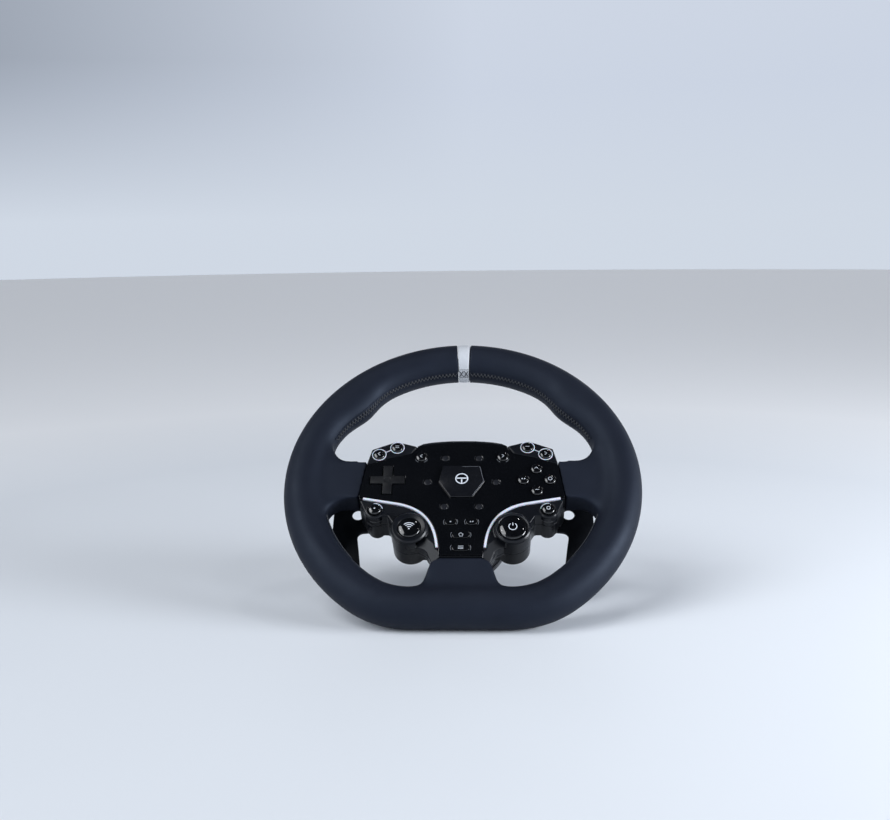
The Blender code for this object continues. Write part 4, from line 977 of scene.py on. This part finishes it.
# ---------------------------------------------------------------- controls
def icon(kind, size=1.0):
    """Strokes of a plain sign: each is (points, closed)."""
    if kind == "dot":
        return [([(0.35 * math.cos(a), 0.35 * math.sin(a)) for a in np.linspace(0, 2 * math.pi, 13)[:-1]], True)]
    if kind == "dots":
        return [([(c + 0.3 * math.cos(a), 0.3 * math.sin(a)) for a in np.linspace(0, 2 * math.pi, 13)[:-1]], True)
                for c in (-0.9, 0.9)]
    if kind == "bar":
        return [([(-1.4, 0), (-0.5, 0), (0.5, 0), (1.4, 0)], False)]
    if kind == "bars":
        return [([(-1.3, v), (0, v), (1.3, v)], False) for v in (-0.75, 0.75)]
    if kind == "menu":
        return [([(-2.0, v), (0, v), (2.0, v)], False) for v in (-1.1, 0.0, 1.1)]
    if kind == "ring":
        return [(arc(0, 0, 1.3, 0, 345, 24), True)]
    if kind == "left":
        return [([(0.7, 1.3), (-0.1, 0.65), (-0.8, 0.0), (-0.1, -0.65), (0.7, -1.3)], False)]
    if kind == "right":
        return [([(-0.7, 1.3), (0.1, 0.65), (0.8, 0.0), (0.1, -0.65), (-0.7, -1.3)], False)]
    if kind == "up":
        return [([(-1.3, -0.6), (-0.6, 0.1), (0.0, 0.8), (0.6, 0.1), (1.3, -0.6)], False)]
    if kind == "house":
        return [([(-1.9, 0.0), (0.0, 1.5), (1.9, 0.0)], False),
                ([(-1.2, -0.1), (-1.2, -1.5), (1.2, -1.5), (1.2, -0.1)], False)]
    if kind == "power":
        return [(arc(0, 0, 3.0, 125, 415, 40), False), ([(0, 0.8), (0, 2.0), (0, 3.4)], False)]
    if kind == "waves":
        return ([(arc(0, -1.6, r, 45, 135, 14), False) for r in (2.0, 3.7, 5.4)]
                + [([(0.3 * math.cos(a), -1.6 + 0.3 * math.sin(a)) for a in np.linspace(0, 2 * math.pi, 13)[:-1]], True)])
    raise ValueError(kind)


def print_icon(name, kind, body, x, w, height, half=0.2, size=1.0):
    strokes = []
    for line, closed in icon(kind):
        placed = [(x + a * size, w + b * size) for a, b in line]
        strokes.append(ribbon(placed, half, height, closed=closed))
    piece(f"{name}_sign", Shape(*strokes), L["print"], body, slot="light_strip")


SIGNS = {"wing_button_outer_left": "left", "wing_button_inner_left": "bars", "wing_button_outer_right": "right",
         "wing_button_inner_right": "bar", "page_button_left": "left", "page_button_right": "right",
         "action_button_right": "ring", "action_button_top": "up", "action_button_left": "dots",
         "action_button_bottom": "bar"}


def make_controls():
    for name, (x, w, surface) in round_buttons().items():
        high = ROOF_BOTTOM - GAP
        shoulder, top = surface + 0.75, surface + 1.95
        profile = [(0, 5.4), (FLANGE_R, 5.4), (FLANGE_R, high), (CAP_R, high)] + dome(CAP_R, surface + 0.4, shoulder, top, 14)
        piece(f"{name}_cap", Shape(turned(profile, [(x, w)], 64)), L["gloss_button"], name, name)
        rise = dome_height(CAP_R, shoulder, top)
        print_icon(name, SIGNS[name], name, x, w, lambda a, b, x=x, w=w, rise=rise: rise(math.hypot(a - x, b - w)),
                   0.15, 1.1)
    for (name, (x, w, half_x, half_w)), kind in zip(FLAT_KEYS.items(), ("dot", "dots", "house", "menu")):
        key = Shape(prism(stadium(x, w, half_x, half_w), 5.7, PANEL_TOP + 0.5, 0.3))
        key.join(prism(stadium(x, w, half_x + 1.0, half_w - 0.2), 5.3, ROOF_BOTTOM - GAP))
        piece(f"{name}_cap", key, L["gloss_button"], name, name)
        print_icon(name, kind, name, x, w, lambda a, b: PANEL_TOP + 0.5, 0.14, 1.0)
    for side, mark, radius, look, kind in ((-1, "left", RADIO_R, "gloss_button", "waves"),
                                           (1, "right", START_R, "gloss_button", "power")):
        x, w = side * BIG_POD[0], BIG_POD[1]
        top = BIG_POD_TOP
        ring = [(radius + 0.4, top + GAP), (BIG_POD_R - 0.2, top + GAP), (BIG_POD_R - 0.2, top + 1.0),
                (BIG_POD_R - 1.5, top + 2.2), (BIG_POD_R - 2.0, top + 2.2), (radius + 0.5, top + 1.5)]
        piece(f"pod_ring_{mark}", Shape(turned(soften(ring, 0.45), [(x, w)], 96)), L["satin_plastic"], "wheel",
              f"pod_bezel_{mark}")
        body = f"pod_button_{mark}"
        rise = (top + 0.9, top + (3.1 if side > 0 else 2.6))
        cap = [(0, 2.2), (radius * 0.7, 2.2), (radius * 0.7, 5.4), (radius, 5.4)] + dome(radius, top + 0.4, *rise, 20)
        piece(f"{body}_cap", Shape(turned(cap, [(x, w)], 96)), L[look], body, body)
        height = dome_height(radius, *rise)
        print_icon(body, kind, body, x, w, lambda a, b, x=x, w=w, height=height: height(math.hypot(a - x, b - w)), 0.3)
        x, w = side * SMALL_POD[0], SMALL_POD[1]
        top = SMALL_POD_TOP
        body = f"small_pod_button_{mark}"
        rise = (top + 0.9, top + 2.4)
        cap = [(0, 1.8), (3.2, 1.8), (3.2, 4.6), (SMALL_CAP_R, 4.6)] + dome(SMALL_CAP_R, top + 0.4, *rise, 14)
        piece(f"{body}_cap", Shape(turned(cap, [(x, w)], 64)), L["gloss_button"], body, body)
        height = dome_height(SMALL_CAP_R, *rise)
        print_icon(body, "dot" if side < 0 else "ring", body, x, w,
                   lambda a, b, x=x, w=w, height=height: height(math.hypot(a - x, b - w)), 0.2)
        start = 10 if side < 0 else 80
        glow = ribbon(arc(x, w, SMALL_CAP_R + 0.95, start, start + 90, 24), 0.28, lambda a, b: SMALL_POD_TOP)
        piece(f"small_pod_arc_{mark}", Shape(glow), L["light_strip"], "wheel", slot="light_strip")

    n = 5.3
    plus = Shape(prism(rounded(cross(*PAD_CENTRE, PAD_REACH, PAD_HALF), 0.7), 7.6, PANEL_TOP + 1.0, 0.5))
    bowl = [(0, PANEL_TOP + 0.55), (2.4, PANEL_TOP + 0.7), (3.0, PANEL_TOP + 1.1), (3.0, PANEL_TOP + 3), (0, PANEL_TOP + 3)]
    plus.cut(turned(bowl, [PAD_CENTRE], 48))
    plus.join(turned(disc(2.2, n + 1.1, 8.6), [PAD_CENTRE], 32))
    piece("direction_pad_cap", plus, L["matte_plastic"], "direction_pad", "direction_pad")


# ---------------------------------------------------------------- paddles
def make_paddles():
    low, high = LUG_LOW + 2.0 + GAP + 0.1, LUG_HIGH - 2.0 - GAP - 0.1
    for side, mark in ((-1, "left"), (1, "right")):
        x = side * HINGE_X
        outline = rounded(paddle_outline(), 2.0)
        plate = flip(outline) if side < 0 else outline
        paddle = Shape(prism(plate, PADDLE_BACK, PADDLE_FRONT, 0.7))
        web = rectangle(x + side * 3.0, (low + high) / 2, 3.0, (high - low) / 2)
        paddle.join(prism(web, PADDLE_BACK + 0.2, PADDLE_FRONT - 0.2), rod(x, 3.3, low, high))
        hole = [(0, -60), (5.3, -60), (5.3, PADDLE_BACK), (4.6, PADDLE_BACK + 0.7), (4.6, PADDLE_FRONT - 0.7),
                (5.3, PADDLE_FRONT), (5.3, 0), (0, 0)]
        paddle.cut(turned(hole, [(side * 84.0, -10.0)], 64), rod(x, PIN_R + GAP, -40, 40))
        body = f"shift_paddle_{mark}"
        piece(f"paddle_plate_{mark}", paddle, L["black_metal"], body, body)
        piece(f"paddle_pivot_{mark}", Shape(rod(x, PIN_R, LUG_LOW - 2.0, LUG_HIGH + 2.0)), L["steel"], "wheel",
              f"paddle_pin_{mark}")
        magnet = soften(disc(3.2, BACK_N - 3.2, BACK_N - GAP), 0.3)
        piece(f"paddle_stop_magnet_{mark}", Shape(turned(magnet, [(side * 72.0, -8.0)], 48)), L["steel"], "wheel",
              f"paddle_magnet_{mark}")


# ---------------------------------------------------------------- quick release
def make_quick_release():
    rear, boss, inner = -QR_REACH, PLATE_BACK - GAP, NECK_R + GAP
    body = [(0, SOCKET_BOTTOM), (SOCKET_R, SOCKET_BOTTOM), (SOCKET_R, -66.0), (SOCKET_R + 1.2, -67.2),
            (SOCKET_R + 1.2, -71.8), (SOCKET_R, -73.0), (SOCKET_R, rear + 1.2), (SOCKET_R + 1.2, rear),
            (NECK_R - 0.6, rear), (NECK_R, rear + 0.6), (NECK_R, FLANGE_BACK), (33.0, FLANGE_BACK),
            (33.0, BACK_N - 0.5), (BOSS_R, BACK_N - 0.5), (BOSS_R, boss), (0, boss)]
    hub = Shape(turned(soften(body, 0.35), sides=128))
    bolts = arc(0, 0, 23.0, 15, 375, 6)[:-1]
    hub.cut(turned(disc(2.1, -20.0, 9.0), bolts, 24))
    piece("quick_release_hub", hub, L["black_metal"], "wheel", "qr_body")

    ring = [(inner, rear), (QR_R - 1.0, rear), (QR_R, rear + 1.0), (QR_R, rear + 2.2), (QR_R - 0.6, rear + 2.6),
            (QR_R - 0.6, rear + 3.4), (QR_R, rear + 3.8), (QR_R, rear + 5.6), (QR_R - 0.4, rear + 6.0),
            (inner, rear + 6.0)]
    piece("quick_release_end", Shape(turned(soften(ring, 0.3), sides=128)), L["black_metal"], "wheel", "qr_end_ring")

    back, shoulder = rear + 6.0 + GAP, -60.0
    collar = [(inner, back), (33.2, back), (34.0, back + 1.0)]
    collar += [(34.0, n) for n in np.arange(back + 2.0, -59.0, 1.0)]
    collar += [(34.0, -58.0), (32.6, -56.5), (32.6, -50.5), (34.0, -49.0)]
    collar += [(34.0, n) for n in (-47.5, -45.5, -43.5, -41.5, -39.5)]
    collar += [(34.0, -38.0), (33.0, -37.0), (31.0, -37.0), (31.0, shoulder), (inner, shoulder)]

    def flutes(a, radius, n):
        """Grip flutes round the collar's two bands."""
        if radius < 33.9 or n < back + 1.6 or -58.6 < n < -48.4 or n > -38.6:
            return 0.0
        return -0.55 * max(0.0, math.cos(36 * a)) ** 1.5

    piece("quick_release_collar", Shape(turned(collar, sides=432, wave=flutes)), L["black_metal"], "qr_collar",
          "qr_collar", sharp=45)

    n0, n1, turns = shoulder + 1.0 + GAP, FLANGE_BACK - 1.0 - GAP, 3
    count = turns * 48
    line = [(27.9 * math.cos(2 * math.pi * i / 48), 27.9 * math.sin(2 * math.pi * i / 48), n0 + (n1 - n0) * i / count)
            for i in range(count + 1)]
    coil = piece("collar_spring", Shape(tube(line, 0.98, 12)), L["steel"], "wheel", "qr_spring", sharp=0)
    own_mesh(coil)

    block = Shape(prism(rounded(rectangle(0, 0, 8.0, 5.0), 1.0), SOCKET_BOTTOM - 3.0, SOCKET_BOTTOM - GAP, 0.3))
    piece("contact_housing", block, L["contact_plastic"], "wheel", "contact_block")
    pins = [(x, w) for x in (-5, -2.5, 0, 2.5, 5) for w in (-2, 2)]
    pin = [(0, SOCKET_BOTTOM - 4.2), (0.45, SOCKET_BOTTOM - 4.2), (0.7, SOCKET_BOTTOM - 3.9), (0.7, SOCKET_BOTTOM - 1.5),
           (0, SOCKET_BOTTOM - 1.5)]
    piece("contact_pins", Shape(turned(pin, pins, 16)), L["steel"], "wheel", slot="steel")

    screw = soften([(0, BACK_N + 0.2), (2.4, BACK_N + 0.2), (2.6, BACK_N + 0.5), (2.6, BACK_N + 2.0), (1.2, BACK_N + 2.0),
                    (1.2, ROOF_BOTTOM - 2.0), (0, ROOF_BOTTOM - 2.0)], 0.12)
    for i, place in enumerate(SCREWS, 1):
        fastener = Shape(turned(screw, [place], 32))
        fastener.cut(turned(disc(1.25, BACK_N - 3, BACK_N + 1.3), [place], 6))
        piece(f"screw_{i}", fastener, L["steel"], "wheel", f"housing_screw_{i}")


def dress_cad_nodes():
    """Materials for the CAD nodes that show as they are, inside the wheel."""
    inside = {"rim_armature": "alloy", "main_board": "circuit_board", "indicator_light_guide": "light_guide",
              "direction_pad_gimbal": "light_guide"}
    inside.update({f"hub_bolt_{i}": "steel" for i in range(1, 7)})
    for name, look in inside.items():
        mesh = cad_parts[name].data
        mesh.materials.clear()
        mesh.materials.append(L[look])


# ---------------------------------------------------------------- stage, light, camera
def make_stage():
    bm = bmesh.new()
    bmesh.ops.create_circle(bm, cap_ends=True, segments=96, radius=6.0)
    mesh = bpy.data.meshes.new("floor")
    bm.to_mesh(mesh)
    bm.free()
    floor = bpy.data.objects.new("floor", mesh)
    bpy.context.scene.collection.objects.link(floor)
    look = Look("floor_painted_light_falloff", Specular_IOR_Level=0.3)
    far = look.node("ShaderNodeVectorMath", operation='LENGTH')
    look.tree.links.new(look.coords, far.inputs[0])
    # painted light: the floor is painted brighter from 0.6 m out to 1 m from the middle, making up for the lamps'
    # falloff on the far floor
    look.colour(far.outputs["Value"], 0.6, 1.0, (0.76, 0.79, 0.83), (0.93, 0.94, 0.96))
    look.roughness(look.noise(8, 2), 0.3, 0.7, 0.50, 0.58)
    mesh.materials.append(look.mat)


CEILING_LAMPS = [((-0.66, 0.12, 0.74), 0.5), ((0.23, 0.29, 0.93), 0.9), ((0.44, -0.21, 0.87), 0.5),
                 ((-0.55, -0.25, 0.80), 0.5)]      # direction from the wheel and power


def area_light(name, location, target, size, power, colour=(1, 1, 1)):
    light = bpy.data.lights.new(name, 'AREA')
    light.shape, light.size, light.size_y = 'RECTANGLE', size[0], size[1]
    light.energy, light.color = power, colour
    obj = bpy.data.objects.new(name, light)
    bpy.context.scene.collection.objects.link(obj)
    obj.location = location
    obj.rotation_euler = (Vector(target) - Vector(location)).to_track_quat('-Z', 'Y').to_euler()


def make_light():
    world = bpy.data.worlds.new("studio")
    bpy.context.scene.world = world
    world.use_nodes = True
    tree = world.node_tree
    background = tree.nodes["Background"]
    coords = tree.nodes.new("ShaderNodeTexCoord")
    split = tree.nodes.new("ShaderNodeSeparateXYZ")
    ramp = tree.nodes.new("ShaderNodeValToRGB")
    tree.links.new(coords.outputs["Generated"], split.inputs[0])
    tree.links.new(split.outputs["Z"], ramp.inputs["Fac"])
    stops = ramp.color_ramp.elements
    stops[0].position, stops[0].color = 0.0, (0.63, 0.69, 0.78, 1)
    stops[1].position, stops[1].color = 0.66, (0.008, 0.009, 0.012, 1)
    for position, colour in ((0.10, (0.60, 0.66, 0.77)), (0.40, (0.66, 0.71, 0.80))):
        stops.new(position).color = (*colour, 1)

    # the backdrop falls off to the left, above the horizon
    left = tree.nodes.new("ShaderNodeMapRange")
    above = tree.nodes.new("ShaderNodeMapRange")
    for node, axis, low, high, a, b in ((left, "X", -0.42, -0.02, 0.55, 0.0), (above, "Z", 0.0, 0.12, 0.0, 1.0)):
        tree.links.new(split.outputs[axis], node.inputs["Value"])
        for socket, value in (("From Min", low), ("From Max", high), ("To Min", a), ("To Max", b)):
            node.inputs[socket].default_value = value
    shade = tree.nodes.new("ShaderNodeMath")
    shade.operation = 'MULTIPLY'
    tree.links.new(left.outputs[0], shade.inputs[0])
    tree.links.new(above.outputs[0], shade.inputs[1])
    mix = tree.nodes.new("ShaderNodeMix")
    mix.data_type = 'RGBA'
    mix.inputs["B"].default_value = (0.06, 0.08, 0.11, 1)
    tree.links.new(shade.outputs[0], mix.inputs["Factor"])
    tree.links.new(ramp.outputs["Color"], mix.inputs["A"])
    tree.links.new(mix.outputs["Result"], background.inputs["Color"])

    sun = bpy.data.lights.new("sky", 'SUN')
    sun.energy, sun.angle, sun.color = 1.6, math.radians(40), (0.95, 0.97, 1.0)
    obj = bpy.data.objects.new("sky", sun)
    bpy.context.scene.collection.objects.link(obj)
    obj.rotation_euler = Vector((0.75, 0.35, -1.0)).to_track_quat('-Z', 'Y').to_euler()
    area_light("key", (1.35, -0.42, 0.42), (0, 0, 0.1), (0.7, 0.5), 24, (0.90, 0.94, 1.0))
    area_light("fill", (-1.2, -0.9, 0.6), (0, 0, 0.1), (0.9, 0.9), 7, (0.90, 0.95, 1.0))
    for direction, power in CEILING_LAMPS:
        spot = tuple(1.6 * d for d in direction)
        area_light("ceiling", spot, (0, 0, 0.1), (0.07, 0.07), power)


def make_camera():
    camera = bpy.data.cameras.new("camera")
    camera.lens, camera.sensor_width = 50.0, 36.0
    camera.clip_start = 0.01
    obj = bpy.data.objects.new("camera", camera)
    bpy.context.scene.collection.objects.link(obj)
    flat_y = -(_front + _back) / 2000 + FLAT_W * math.sin(LEAN) / 1000
    turn = (Matrix.Rotation(math.radians(2.446), 4, 'Z') @ Matrix.Rotation(math.radians(81.14), 4, 'X')
            @ Matrix.Rotation(math.radians(-0.675), 4, 'Z'))
    obj.matrix_world = Matrix.Translation((0.0277, flat_y - 0.8663, 0.2968)) @ turn
    bpy.context.scene.camera = obj


make_rim()
make_housing()
make_panel()
make_controls()
make_paddles()
make_quick_release()
dress_cad_nodes()
make_stage()
make_light()
make_camera()
bpy.context.scene.view_settings.view_transform = 'Standard'
bpy.context.view_layer.update()
